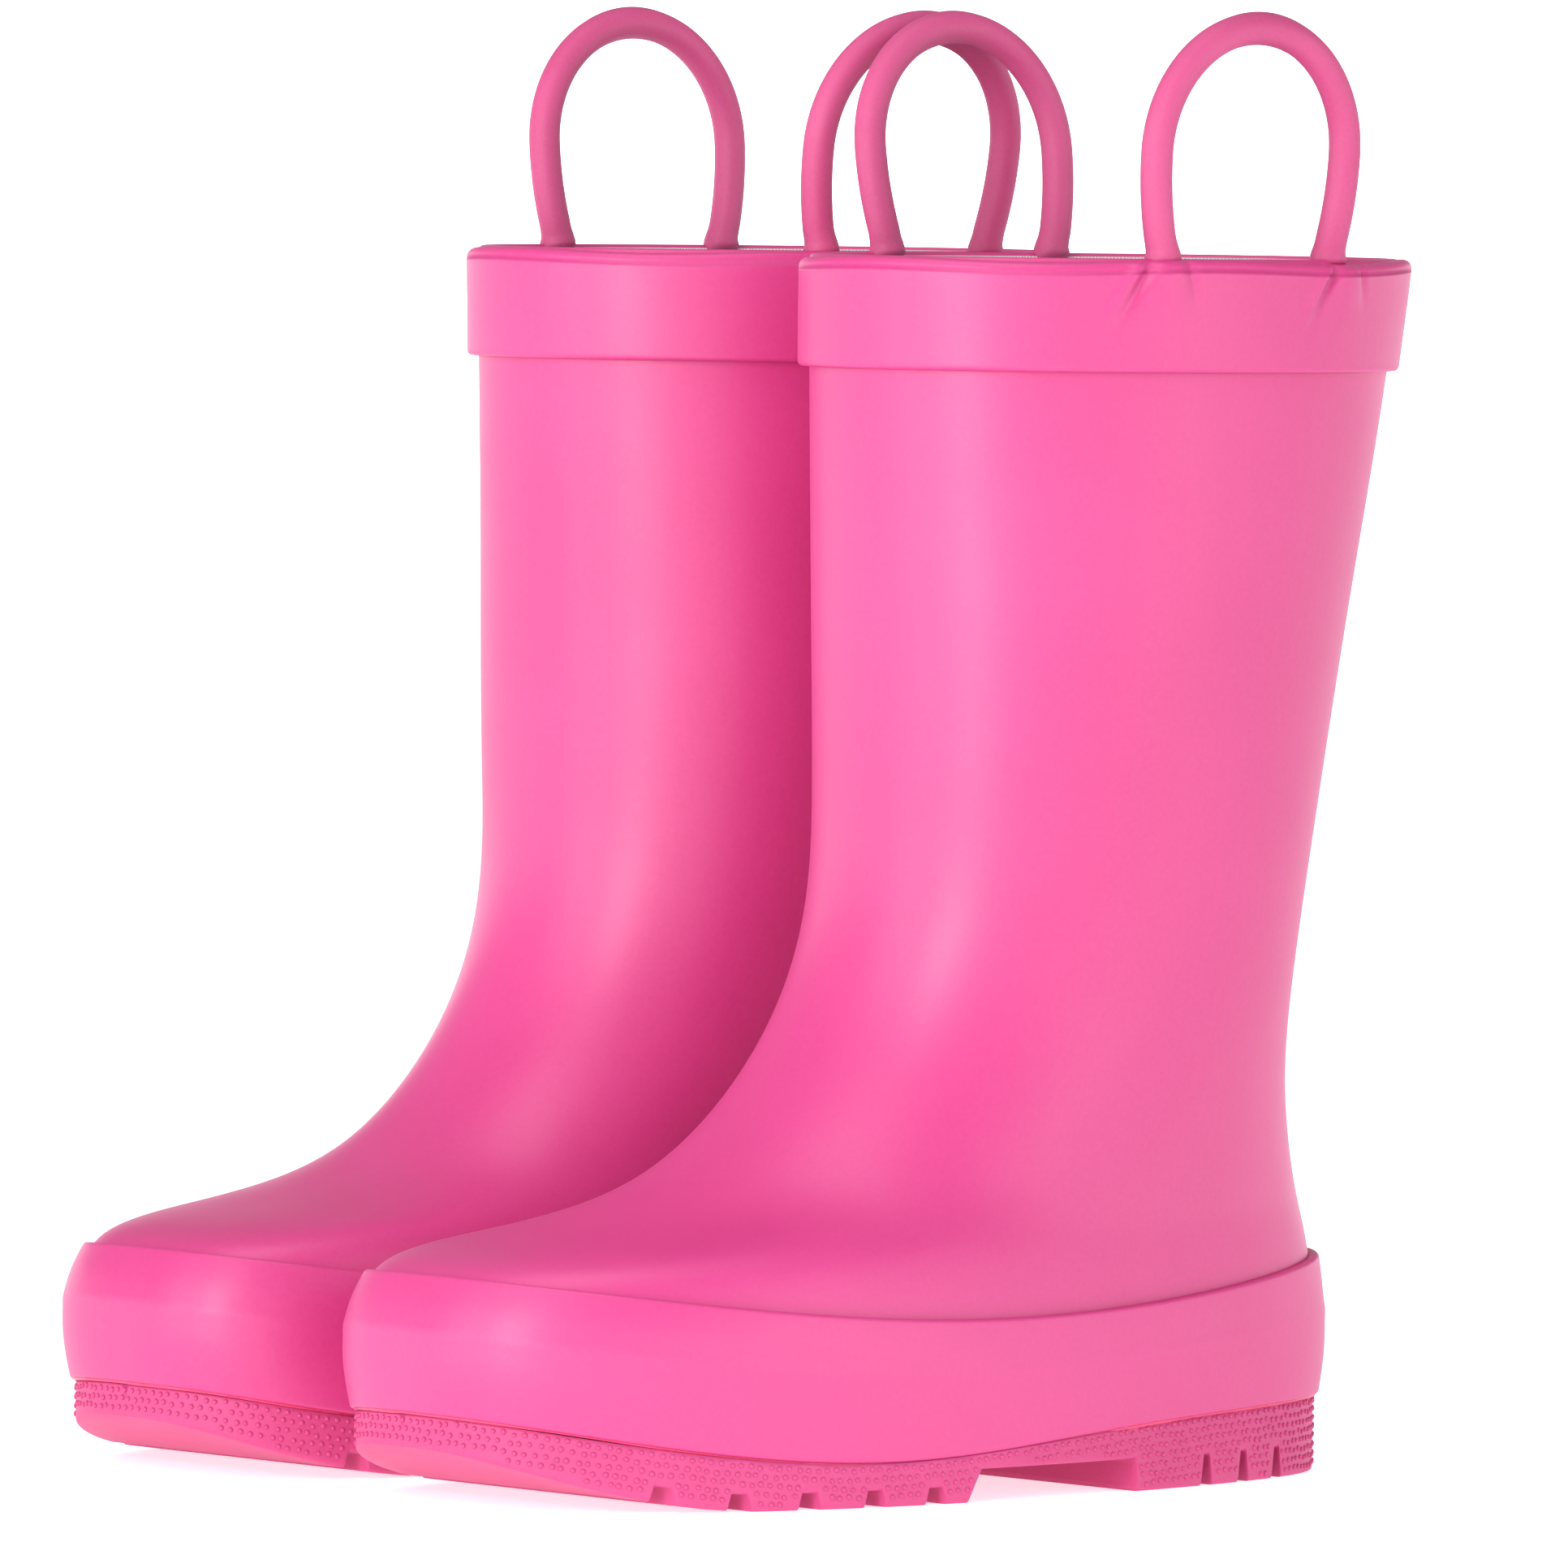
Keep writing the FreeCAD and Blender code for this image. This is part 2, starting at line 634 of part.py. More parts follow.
# ------------------------------------------------------------------------------------ the pair
def place_left(part):
    """Turn a piece from the boot's own frame onto the left boot's place."""
    place = FreeCAD.Placement(FreeCAD.Vector(size("Stance") / 2, size("CentreForward"), 0),
                              FreeCAD.Rotation(FreeCAD.Vector(0, 0, 1), 180))
    part.Placement = place * part.Placement
    part.Label = part.Name


def mirror_right(part):
    """The right boot's copy of a left piece."""
    mirrored = doc.addObject("Part::Mirroring", part.Name.replace("left", "right", 1))
    mirrored.Source = part
    mirrored.Normal = FreeCAD.Vector(1, 0, 0)
    mirrored.Label = mirrored.Name
    return mirrored


def export(parts):
    """Check every piece and write one STEP file for each."""
    broken = [item.Name for item in doc.Objects if {"Invalid", "Error"} & set(item.State)]
    broken += [part.Name for part in parts if part.Shape.isNull() or not part.Shape.isValid()]
    if broken:
        raise RuntimeError("broken: " + ", ".join(broken))
    os.makedirs("parts", exist_ok=True)
    for part in parts:
        part.Shape.exportStep(f"parts/{part.Label}.step")


left = make_left_boot()
doc.recompute()
for piece in left:
    place_left(piece)
doc.recompute()
right = [mirror_right(piece) for piece in left]
doc.recompute()
export(left + right)
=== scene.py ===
"""Pair of children's natural-rubber rain boots with round pull-on loops, dressed for the studio.

A boot is drawn in its own frame, in millimetres: x to the inner side, y forward from the back of
the heel, z up.  BootFrame takes it to the shared frame, in metres.  Every shape is a surface of two
parameters, worked out as whole arrays.
"""
import json
import logging
import math
from dataclasses import dataclass, replace
from enum import Enum
from typing import Callable, Sequence

import bpy
import numpy as np
from mathutils import Matrix


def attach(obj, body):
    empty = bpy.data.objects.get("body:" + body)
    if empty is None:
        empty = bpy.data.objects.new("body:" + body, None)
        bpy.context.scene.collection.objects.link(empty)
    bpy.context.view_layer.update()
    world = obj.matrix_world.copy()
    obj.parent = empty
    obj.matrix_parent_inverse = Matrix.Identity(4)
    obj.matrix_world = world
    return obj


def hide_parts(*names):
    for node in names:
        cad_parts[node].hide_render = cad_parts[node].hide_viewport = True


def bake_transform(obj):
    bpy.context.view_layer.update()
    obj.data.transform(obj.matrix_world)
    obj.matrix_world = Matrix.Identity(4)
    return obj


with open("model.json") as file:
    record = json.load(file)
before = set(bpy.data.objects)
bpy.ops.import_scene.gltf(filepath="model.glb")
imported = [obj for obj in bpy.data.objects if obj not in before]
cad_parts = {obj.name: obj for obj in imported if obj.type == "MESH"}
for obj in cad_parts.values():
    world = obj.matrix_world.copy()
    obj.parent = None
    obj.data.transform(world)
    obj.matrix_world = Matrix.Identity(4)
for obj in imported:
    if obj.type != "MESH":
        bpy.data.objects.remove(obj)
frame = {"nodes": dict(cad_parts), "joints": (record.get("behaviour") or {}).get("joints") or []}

Array = np.ndarray
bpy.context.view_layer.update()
MM = 0.001
LOG = logging.getLogger("rain_boots")


# ------------------------------------------------------------------------------------ mathematics
def smooth_step(value: Array) -> Array:
    """Three t squared less two t cubed, with t held between 0 and 1."""
    held = np.clip(value, 0.0, 1.0)
    return held * held * (3 - 2 * held)


def bell(value: Array, width: float) -> Array:
    """The bell curve exp(-(value / width) squared)."""
    return np.exp(-((value / width) ** 2))


def signed_power(value: Array, power: float) -> Array:
    """The power of the value's size, with the value's own sign."""
    return np.sign(value) * np.abs(value) ** power


def spline(knots: Array, rows: Array, spots: Array) -> Array:
    """Natural cubic spline through rows.

    Between two knots a row is the mean of its neighbours weighted by nearness, plus a cubic term
    for each of their second derivatives, which come from one linear system.

    Args:
        knots: rising parameter of each row.
        rows: one value or array for each knot.
        spots: parameters to read the spline at.

    Returns:
        The spline's rows at the spots.
    """
    flat = rows.reshape(len(knots), -1)
    steps = np.diff(knots)
    inner = np.arange(1, len(knots) - 1)
    system = np.eye(len(knots))
    system[inner, inner - 1] = steps[:-1]
    system[inner, inner] = 2 * (steps[:-1] + steps[1:])
    system[inner, inner + 1] = steps[1:]
    slopes = np.diff(flat, axis=0) / steps[:, None]
    load = np.zeros_like(flat)
    load[inner] = 6 * np.diff(slopes, axis=0)
    curving = np.linalg.solve(system, load)
    low = np.clip(np.searchsorted(knots, spots, side="right") - 1, 0, len(steps) - 1)
    step = steps[low]
    after = (spots - knots[low]) / step
    before = 1 - after
    cubic_before = ((before ** 3 - before) * step ** 2 / 6)[:, None]
    cubic_after = ((after ** 3 - after) * step ** 2 / 6)[:, None]
    found = (before[:, None] * flat[low] + after[:, None] * flat[low + 1]
             + cubic_before * curving[low] + cubic_after * curving[low + 1])
    return found.reshape(len(spots), *rows.shape[1:])


def surface_normals(grid: Array) -> Array:
    """Unit normals of a grid whose columns close round: the way round crossed with the way up.

    Args:
        grid: rows of points that close round.

    Returns:
        One unit normal for each point.
    """
    around = np.roll(grid, -1, axis=1) - np.roll(grid, 1, axis=1)
    upward = np.gradient(grid, axis=0)
    normals = np.cross(around, upward)
    return normals / np.maximum(np.linalg.norm(normals, axis=-1, keepdims=True), 1e-9)


def rows_at_heights(dense: Array, heights: Array) -> Array:
    """Points of a dense grid's columns at the asked heights, by straight lines between its rows.

    Args:
        dense: grid of points, rising row by row.
        heights: one row of heights for each row of points wanted, one column for each column.

    Returns:
        The grid of points at those heights.
    """
    above = (dense[None, :, :, 2] < heights[:, None, :]).sum(axis=1)
    high = np.clip(above, 1, len(dense) - 1)
    columns = np.arange(dense.shape[1])[None, :]
    upper, lower = dense[high, columns], dense[high - 1, columns]
    share = (heights - lower[..., 2]) / np.maximum(upper[..., 2] - lower[..., 2], 1e-9)
    return lower + share[..., None] * (upper - lower)


# ------------------------------------------------------------------------------------ mesh making
def new_piece(name: str, points: Array, faces: Sequence[Array],
              uvs: Array | None = None) -> bpy.types.Object:
    """Make an object from points in metres, with its faces turned outwards.

    Args:
        name: the object's name.
        points: one row for each vertex.
        faces: arrays of faces, each with its own number of corners.
        uvs: a pair of pattern coordinates in millimetres for each vertex, if it has any.

    Returns:
        The smooth-shaded object, linked to the scene.
    """
    volume = 0.0
    for part in faces:
        corners = points[part]
        for number in range(1, part.shape[1] - 1):
            cross = np.cross(corners[:, number], corners[:, number + 1])
            volume += float(np.einsum("ij,ij->", corners[:, 0], cross))
    turned = [part if volume > 0 else part[:, ::-1] for part in faces]
    mesh = bpy.data.meshes.new(name)
    mesh.from_pydata(points.tolist(), [], [face for part in turned for face in part.tolist()])
    mesh.polygons.foreach_set("use_smooth", np.ones(len(mesh.polygons), dtype=bool))
    if uvs is not None:
        corners = np.empty(len(mesh.loops), dtype=np.int32)
        mesh.loops.foreach_get("vertex_index", corners)
        layer = mesh.uv_layers.new(name="millimetres")
        layer.data.foreach_set("uv", uvs[corners].astype(np.float32).ravel())
    mesh.validate()
    piece = bpy.data.objects.new(name, mesh)
    bpy.context.scene.collection.objects.link(piece)
    return piece


def grid_faces(rows: int, columns: int, close_rows: bool) -> Array:
    """Four-cornered faces of a grid whose columns close round, and whose rows close if asked.

    Args:
        rows: number of rows.
        columns: number of columns.
        close_rows: whether the last row joins the first.

    Returns:
        Four vertex numbers for each face.
    """
    down = np.arange(rows if close_rows else rows - 1)[:, None]
    along = np.arange(columns)[None, :]
    right, below = (along + 1) % columns, (down + 1) % rows
    corners = [down * columns + along, down * columns + right,
               below * columns + right, below * columns + along]
    return np.stack(corners, axis=-1).reshape(-1, 4)


def capped_grid(grid: Array) -> tuple[Array, list[Array]]:
    """Close a tube of rows with a fan at each end, round the middle of its end rows.

    Args:
        grid: rows of points that close round.

    Returns:
        The vertices, and the faces as an array of quads and an array of triangles.
    """
    rows, columns = grid.shape[:2]
    points = np.vstack([grid.reshape(-1, 3), grid[0].mean(axis=0), grid[-1].mean(axis=0)])
    along = np.arange(columns)
    right = (along + 1) % columns
    first, last = rows * columns, rows * columns + 1
    start = np.stack([np.full(columns, first), right, along], axis=-1)
    end = np.stack([np.full(columns, last), along + (rows - 1) * columns,
                    right + (rows - 1) * columns], axis=-1)
    return points, [grid_faces(rows, columns, False), np.vstack([start, end])]


# --------------------------------------------------------------------------------- the boot's form
class Side(Enum):
    """The wearer's side.  The value turns the boot's inner side the right way."""

    LEFT = 1
    RIGHT = -1

    @property
    def word(self) -> str:
        """The side as node names have it."""
        return self.name.lower()


@dataclass(frozen=True)
class Ring:
    """A closed outline: its front and back points, half width, squareness and foot share."""

    front: float
    front_height: float
    back: float
    back_height: float
    half_width: float
    squareness: float
    foot_share: float

    def moved_in(self, inset: float) -> "Ring":
        """The same ring moved in at its front, back and sides."""
        return Ring(self.front - inset, self.front_height, self.back + inset, self.back_height,
                    self.half_width - inset, self.squareness, self.foot_share)


@dataclass(frozen=True)
class BootForm:
    """The outside of the boot, as the moulded pieces share it."""

    heel_narrowing: float = 0.16
    ball_share: float = 0.69
    toe_bend: float = 7.0
    bend_start: float = 0.45
    loop_forward: float = 42.5
    columns: int = 224
    foxing_rings: tuple[Ring, ...] = (
        Ring(184.0, 0, 2, 0, 38.5, 2.65, 1), Ring(187.5, 14, 0.5, 12, 40.5, 2.7, 1),
        Ring(188.5, 30, -0.5, 26, 41, 2.75, 1), Ring(184.5, 38.5, 0.5, 37.5, 39.5, 2.7, 1))
    leg_rings: tuple[Ring, ...] = (
        Ring(165.5, 43, 3.5, 46, 35.5, 2.45, 0.9), Ring(131, 51.5, 6.5, 60, 33.5, 2.3, 0.6),
        Ring(104, 77, 8.5, 76, 34, 2.2, 0.3), Ring(95, 117, 5.5, 111, 37, 2.15, 0),
        Ring(96, 151, -2, 149, 39, 2.1, 0), Ring(97.5, 187, -10, 187, 39.5, 2.1, 0),
        Ring(98, 205, -13, 205, 39.5, 2.1, 0))
    foxing_inset: float = 2.0
    top_seam: tuple[tuple[float, float], ...] = ((-8, 38.5), (98, 30.5), (196.5, 39.5))
    sole_seam: tuple[tuple[float, float], ...] = ((-8, 13), (66, 10.8), (128, 7.2), (196.5, 17))

    def angles(self) -> Array:
        """Equal steps round a ring, from the toe towards the outer side."""
        return np.linspace(0, 2 * np.pi, self.columns, endpoint=False)

    def ring_points(self, ring: Ring, angles: Array) -> Array:
        """Points round a ring: a superellipse whose width is narrowed at the heel by a smooth
        step up to the ball of the foot, and whose front bends to the inner side as a square.

        Args:
            ring: the outline.
            angles: where round the ring, in radians from the toe.

        Returns:
            One point for each angle.
        """
        power = 2 / ring.squareness
        along, across = signed_power(np.cos(angles), power), signed_power(np.sin(angles), power)
        share = (along + 1) / 2
        forward = ring.back + share * (ring.front - ring.back)
        height = ring.back_height + share * (ring.front_height - ring.back_height)
        narrow = self.heel_narrowing * ring.foot_share * (1 - smooth_step(share / self.ball_share))
        bend_share = np.maximum((share - self.bend_start) / (1 - self.bend_start), 0)
        bend = self.toe_bend * ring.foot_share * bend_share ** 2
        return np.stack([bend - across * ring.half_width * (1 - narrow), forward, height], axis=-1)

    def stack(self, rings: Sequence[Ring], count: int) -> Array:
        """A dense grid on the spline surface through rings, spaced by their mean distance.

        Args:
            rings: outlines from low to high.
            count: number of rows wanted.

        Returns:
            The grid of points.
        """
        rows = np.array([self.ring_points(ring, self.angles()) for ring in rings])
        gaps = np.linalg.norm(np.diff(rows, axis=0), axis=-1).mean(axis=1)
        knots = np.concatenate([[0], np.cumsum(gaps)])
        return spline(knots, rows, np.linspace(0, knots[-1], count))

    def upper_grid(self, count: int) -> Array:
        """The upper's outside, from inside the foxing to the rim."""
        foot = [ring.moved_in(self.foxing_inset) for ring in self.foxing_rings[1:]]
        return self.stack([*foot, *self.leg_rings], count)

    def foxing_grid(self, count: int) -> Array:
        """The foxing's outside, from the floor to its top edge."""
        return self.stack(self.foxing_rings, count)

    @staticmethod
    def seam_height(seam: Sequence[tuple[float, float]], forward: Array) -> Array:
        """Height of a seam, a spline through its few points, at forward positions.

        Args:
            seam: pairs of forward position and height.
            forward: where to read it.

        Returns:
            One height for each position.
        """
        spots = np.array(seam, dtype=float)
        flat = np.asarray(forward, dtype=float).ravel()
        return spline(spots[:, 0], spots[:, 1], flat).reshape(np.shape(forward))


FORM = BootForm()


class BootFrame:
    """Where one boot stands in the shared frame, read from its loops' hinges."""

    def __init__(self, side: Side) -> None:
        """Find the boot's place from its two loop joints."""
        joints = {joint["name"]: joint for joint in frame["joints"]}
        outer = joints[f"{side.word}_outer_handle_bend"]["pos_m"]
        inner = joints[f"{side.word}_inner_handle_bend"]["pos_m"]
        self.side = side
        self.middle = (outer[0] + inner[0]) / 2
        self.loop_side = abs(outer[0] - inner[0]) / 2 / MM
        self.heel_back = outer[1] + FORM.loop_forward * MM
        self.hinge_height = outer[2] / MM

    def place(self, points: Array) -> Array:
        """Take points from the boot's own frame to the shared one."""
        return np.stack([self.middle - self.side.value * points[..., 0] * MM,
                         self.heel_back - points[..., 1] * MM, points[..., 2] * MM], axis=-1)

    def piece(self, name: str, grid: Array, uvs: Array | None = None) -> bpy.types.Object:
        """Make a ring-shaped piece from a grid that closes both ways.

        Args:
            name: the piece's name without its side.
            grid: points in the boot's own frame.
            uvs: pattern coordinates in millimetres, if it has any.

        Returns:
            The new object.
        """
        rows, columns = grid.shape[:2]
        return new_piece(f"{self.side.word}_{name}_form", self.place(grid).reshape(-1, 3),
                         [grid_faces(rows, columns, True)],
                         None if uvs is None else uvs.reshape(-1, 2))

    def capped(self, name: str, grid: Array) -> bpy.types.Object:
        """Make a piece from a tube of rows that is closed with a fan at each end.

        Args:
            name: the piece's name without its side.
            grid: points in the boot's own frame.

        Returns:
            The new object.
        """
        points, faces = capped_grid(self.place(grid))
        return new_piece(f"{self.side.word}_{name}_form", points, faces)

    def ride(self, piece: bpy.types.Object, slot: str, *nodes: str) -> None:
        """Let a piece ride on the boot and stand for CAD nodes.

        Args:
            piece: the object.
            slot: its material slot; not used.
            *nodes: CAD nodes without their side.
        """
        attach(piece, f"{self.side.word}_boot")
        if nodes:
            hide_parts(*(f"{self.side.word}_{node}" for node in nodes))


# ---------------------------------------------------------------------------------------- finishes
def linear(code: str) -> tuple[float, float, float, float]:
    """A colour socket's linear value for an sRGB hex code.

    Args:
        code: hash sign and six hex digits.

    Returns:
        Red, green, blue and an alpha of one.
    """
    parts = [int(code[start:start + 2], 16) / 255 for start in (1, 3, 5)]
    curve = [part / 12.92 if part <= 0.04045 else ((part + 0.055) / 1.055) ** 2.4 for part in parts]
    return (*curve, 1.0)


def add_node(tree: bpy.types.NodeTree, kind: str, settings: dict | None = None,
             inputs: dict | None = None) -> bpy.types.Node:
    """Add a shader node.

    Args:
        tree: the material's node tree.
        kind: the node's type name.
        settings: its own properties.
        inputs: for each socket, a value or another node's output socket.

    Returns:
        The new node.
    """
    node = tree.nodes.new(kind)
    for name, value in (settings or {}).items():
        setattr(node, name, value)
    for name, value in (inputs or {}).items():
        if isinstance(value, bpy.types.NodeSocket):
            tree.links.new(value, node.inputs[name])
        else:
            node.inputs[name].default_value = value
    return node


def start_material(name: str) -> tuple[bpy.types.Material, bpy.types.NodeTree]:
    """A new material with an empty node tree.

    Args:
        name: the material's name.

    Returns:
        The material and its tree.
    """
    material = bpy.data.materials.new(name)
    material.use_nodes = True
    material.node_tree.nodes.clear()
    return material, material.node_tree


def grain(tree: bpy.types.NodeTree, size_mm: float, detail: float, where: bpy.types.NodeSocket
          ) -> bpy.types.NodeSocket:
    """Noise whose grains are about size_mm across, where the coordinates are in metres.

    Args:
        tree: the material's node tree.
        size_mm: width of a grain.
        detail: octaves of finer grain.
        where: socket of the coordinates.

    Returns:
        The pattern's socket, from 0 to 1.
    """
    noise = add_node(tree, "ShaderNodeTexNoise", {}, {
        "Vector": where, "Scale": 1 / (size_mm * MM), "Detail": detail, "Roughness": 0.55})
    return noise.outputs["Fac"]


def tint(tree: bpy.types.NodeTree, factor: bpy.types.NodeSocket, low: str, high: str,
         span: tuple[float, float] = (0.35, 0.65)) -> bpy.types.NodeSocket:
    """A colour between two hex codes, as a pattern goes from one end of its span to the other.

    Args:
        tree: the material's node tree.
        factor: socket of the pattern.
        low: colour at the low end.
        high: colour at the high end.
        span: the pattern's two ends.

    Returns:
        The colour's socket.
    """
    ramp = add_node(tree, "ShaderNodeValToRGB", {}, {"Fac": factor})
    first, last = ramp.color_ramp.elements
    first.position, first.color = span[0], linear(low)
    last.position, last.color = span[1], linear(high)
    return ramp.outputs["Color"]


def spread(tree: bpy.types.NodeTree, factor: bpy.types.NodeSocket, low: float, high: float
           ) -> bpy.types.NodeSocket:
    """Take a pattern of 0 to 1 to a range of values.

    Args:
        tree: the material's node tree.
        factor: socket of the pattern.
        low: value at 0.
        high: value at 1.

    Returns:
        The value's socket.
    """
    ranged = add_node(tree, "ShaderNodeMapRange", {}, {
        "Value": factor, "To Min": low, "To Max": high})
    return ranged.outputs["Result"]


@dataclass(frozen=True)
class Rubber:
    """Coloured natural rubber.

    Broad clouds of the pigment and a fine speckle tint it, and a skin of small soft bumps breaks
    up its shine.
    """

    name: str
    cloud_low: str
    cloud_high: str
    speckle: str
    cloud_mm: float
    speckle_mm: float
    skin_mm: float
    skin_depth_mm: float
    roughness: tuple[float, float]
    specular: float = 0.5

    def make(self) -> bpy.types.Material:
        """Build the material.

        Returns:
            The finished material.
        """
        material, tree = start_material(self.name)
        where = add_node(tree, "ShaderNodeTexCoord").outputs["Object"]
        cloud = tint(tree, grain(tree, self.cloud_mm, 2.0, where), self.cloud_low, self.cloud_high)
        fleck = grain(tree, self.speckle_mm, 3.0, where)
        amount = spread(tree, fleck, -0.1, 0.32)
        colour = add_node(tree, "ShaderNodeMix", {"data_type": "RGBA", "clamp_factor": True}, {
            "Factor": amount, "A": cloud, "B": linear(self.speckle)})
        skin = grain(tree, self.skin_mm, 2.0, where)
        bump = add_node(tree, "ShaderNodeBump", {}, {
            "Strength": 1.0, "Distance": self.skin_depth_mm * MM, "Height": skin})
        shine = spread(tree, grain(tree, self.cloud_mm / 3, 3.0, where), *self.roughness)
        shader = add_node(tree, "ShaderNodeBsdfPrincipled", {}, {
            "Base Color": colour.outputs["Result"], "Roughness": shine, "IOR": 1.52,
            "Specular IOR Level": self.specular, "Normal": bump.outputs["Normal"]})
        add_node(tree, "ShaderNodeOutputMaterial", {}, {"Surface": shader.outputs["BSDF"]})
        return material


@dataclass(frozen=True)
class Knit:
    """Cotton jersey: rows of small stitches, drawn from two waves on the piece's own map; the
    darker gap colour in the low gaps between stitches is painted shade.
    """

    name: str
    yarn: str
    # gap: painted shade, a darker colour laid into the low gaps between stitches.
    gap: str
    stitch_mm: float
    depth_mm: float

    def make(self) -> bpy.types.Material:
        """Build the material.

        Returns:
            The finished material.
        """
        material, tree = start_material(self.name)
        where = add_node(tree, "ShaderNodeUVMap", {"uv_map": "millimetres"}).outputs["UV"]
        scale = 1 / (self.stitch_mm * 2)
        waves = []
        for direction in ("X", "Y"):
            wave = add_node(tree, "ShaderNodeTexWave", {"bands_direction": direction}, {
                "Vector": where, "Scale": scale, "Distortion": 1.2, "Detail": 1.0})
            waves.append(wave.outputs["Fac"])
        height = add_node(tree, "ShaderNodeMath", {"operation": "MULTIPLY"})
        tree.links.new(waves[0], height.inputs[0])
        tree.links.new(waves[1], height.inputs[1])
        # Painted shade: the colour darkens from the yarn colour on the stitches to the gap colour
        # in the low gaps between them.
        colour = tint(tree, height.outputs[0], self.gap, self.yarn, (0.05, 0.5))
        bump = add_node(tree, "ShaderNodeBump", {}, {
            "Strength": 0.8, "Distance": self.depth_mm * MM, "Height": height.outputs[0]})
        shader = add_node(tree, "ShaderNodeBsdfPrincipled", {}, {
            "Base Color": colour, "Roughness": 0.9, "Sheen Weight": 0.3, "Sheen Roughness": 0.5,
            "Normal": bump.outputs["Normal"]})
        add_node(tree, "ShaderNodeOutputMaterial", {}, {"Surface": shader.outputs["BSDF"]})
        return material


# Natural rubber, built up on a last and cured: a satin skin with clouds of pigment.
SATIN_RUBBER = Rubber("natural_rubber_satin_cured", "#C43278", "#CA387E", "#D34E90", 60.0, 0.9,
                      1.6, 0.012, (0.40, 0.47), 0.6)
# The same compound moulded as round cord: matte and a little greyer, with a fine tooth.
LOOP_RUBBER = Rubber("natural_rubber_matte_cord", "#B93F74", "#C0477B", "#CB5C8B", 25.0, 0.6,
                     0.7, 0.02, (0.54, 0.62), 0.45)
# Harder rubber pressed in a mould with a grained face: matte, deeper in colour.
SOLE_RUBBER = Rubber("natural_rubber_pressed_sole", "#BE3A74", "#C6427C", "#CF5589", 30.0, 0.7,
                     0.5, 0.04, (0.5, 0.62), 0.4)
# Rubber cement that dried in the joint over the sole: darker, redder and glossier.
BOND_CEMENT = Rubber("rubber_cement_dried_bead", "#CF2A5C", "#DD3F6C", "#E8587F", 8.0, 0.8,
                     1.0, 0.03, (0.3, 0.4), 0.5)
# Calendered sheet rubber of the hidden stiffeners.
STIFFENER_RUBBER = Rubber("natural_rubber_calendered", "#C94F7E", "#D65C8A", "#DE739A", 20.0, 1.0,
                          0.8, 0.03, (0.5, 0.6))
# Blown sponge that fills the sole, and pressed fibre board: both dull and open-grained.
SPONGE = Rubber("blown_sponge_rubber", "#4A4443", "#5C5553", "#6B6462", 6.0, 0.8, 0.9, 0.15,
                (0.8, 0.95), 0.2)
FIBRE_BOARD = Rubber("cellulose_board_pressed", "#9C8360", "#AD9370", "#C2AA88", 9.0, 0.5, 0.5,
                     0.03, (0.8, 0.9), 0.2)
# Single jersey cotton, 1 mm stitches, and a tighter knit over the insole's foam; each second colour
# is painted shade for the gaps between stitches.
JERSEY = Knit("cotton_jersey_knitted", "#F1ECE8", "#B9AFA9", 1.0, 0.25)
INSOLE_KNIT = Knit("cotton_pique_over_foam", "#E9DFD8", "#A69A92", 1.6, 0.3)


class Palette:
    """Makes each finish once."""

    def __init__(self) -> None:
        """Start with no materials."""
        self.made: dict[str, bpy.types.Material] = {}

    def dress(self, piece: bpy.types.Object, finish: Rubber | Knit) -> None:
        """Give a piece a finish on every slot.

        Args:
            piece: the object.
            finish: what it is made of.
        """
        if finish.name not in self.made:
            self.made[finish.name] = finish.make()
        if not piece.material_slots:
            piece.data.materials.append(self.made[finish.name])
        for place in piece.material_slots:
            place.material = self.made[finish.name]


PALETTE = Palette()


# --------------------------------------------------------------------------------- sub-assemblies
def arc_lengths(row: Array) -> Array:
    """Distance travelled along a closed row of points, in its own unit.

    Args:
        row: points in order.

    Returns:
        One distance for each point, from nought.
    """
    steps = np.linalg.norm(np.roll(row, -1, axis=0) - row, axis=1)
    return np.concatenate([[0], np.cumsum(steps)[:-1]])


def wall_profile(outside: Array, inset_low: float, wall: float, edge_rows: int) -> Array:
    """Close a wall: up its outside, over a round top edge, and down its inside.

    The inside is the outside moved in along its normal.  The top edge is a half circle whose
    radius is half the wall.

    Args:
        outside: grid of the outside, rising.
        inset_low: how far the outside itself is moved in.
        wall: thickness.
        edge_rows: rows over the top edge.

    Returns:
        A grid that closes both ways.
    """
    normals = surface_normals(outside)
    normals[..., 2] = 0
    normals /= np.maximum(np.linalg.norm(normals, axis=-1, keepdims=True), 1e-9)
    top, top_normal = outside[-1], normals[-1]
    turn = np.linspace(0, np.pi, edge_rows + 2)[1:-1, None, None]
    depth = inset_low + wall / 2 * (1 - np.cos(turn))
    lift = np.array([0, 0, 1.0]) * np.sin(turn) * wall / 2
    edge = top[None] - top_normal[None] * depth + lift
    return np.concatenate([outside - normals * inset_low, edge,
                           (outside - normals * (inset_low + wall))[::-1]])


@dataclass(frozen=True)
class Upper:
    """The moulded rubber shell of foot and shaft."""

    wall: float = 2.0
    rows: int = 150
    edge_rows: int = 5
    unevenness: float = 0.12

    def build(self, place: BootFrame) -> None:
        """Make the shell from the form's outside, with a slight hand-laid unevenness.

        Args:
            place: where the boot stands.
        """
        outside = FORM.upper_grid(self.rows)
        along, height = outside[..., 1], outside[..., 2]
        swell = np.sin(along / 17 + height / 23) * np.sin(height / 31 + 0.6) * self.unevenness
        outside = outside + surface_normals(outside) * swell[..., None]
        piece = place.piece("upper", wall_profile(outside, 0.0, self.wall, self.edge_rows))
        PALETTE.dress(piece, SATIN_RUBBER)
        place.ride(piece, "moulded_rubber", "upper")


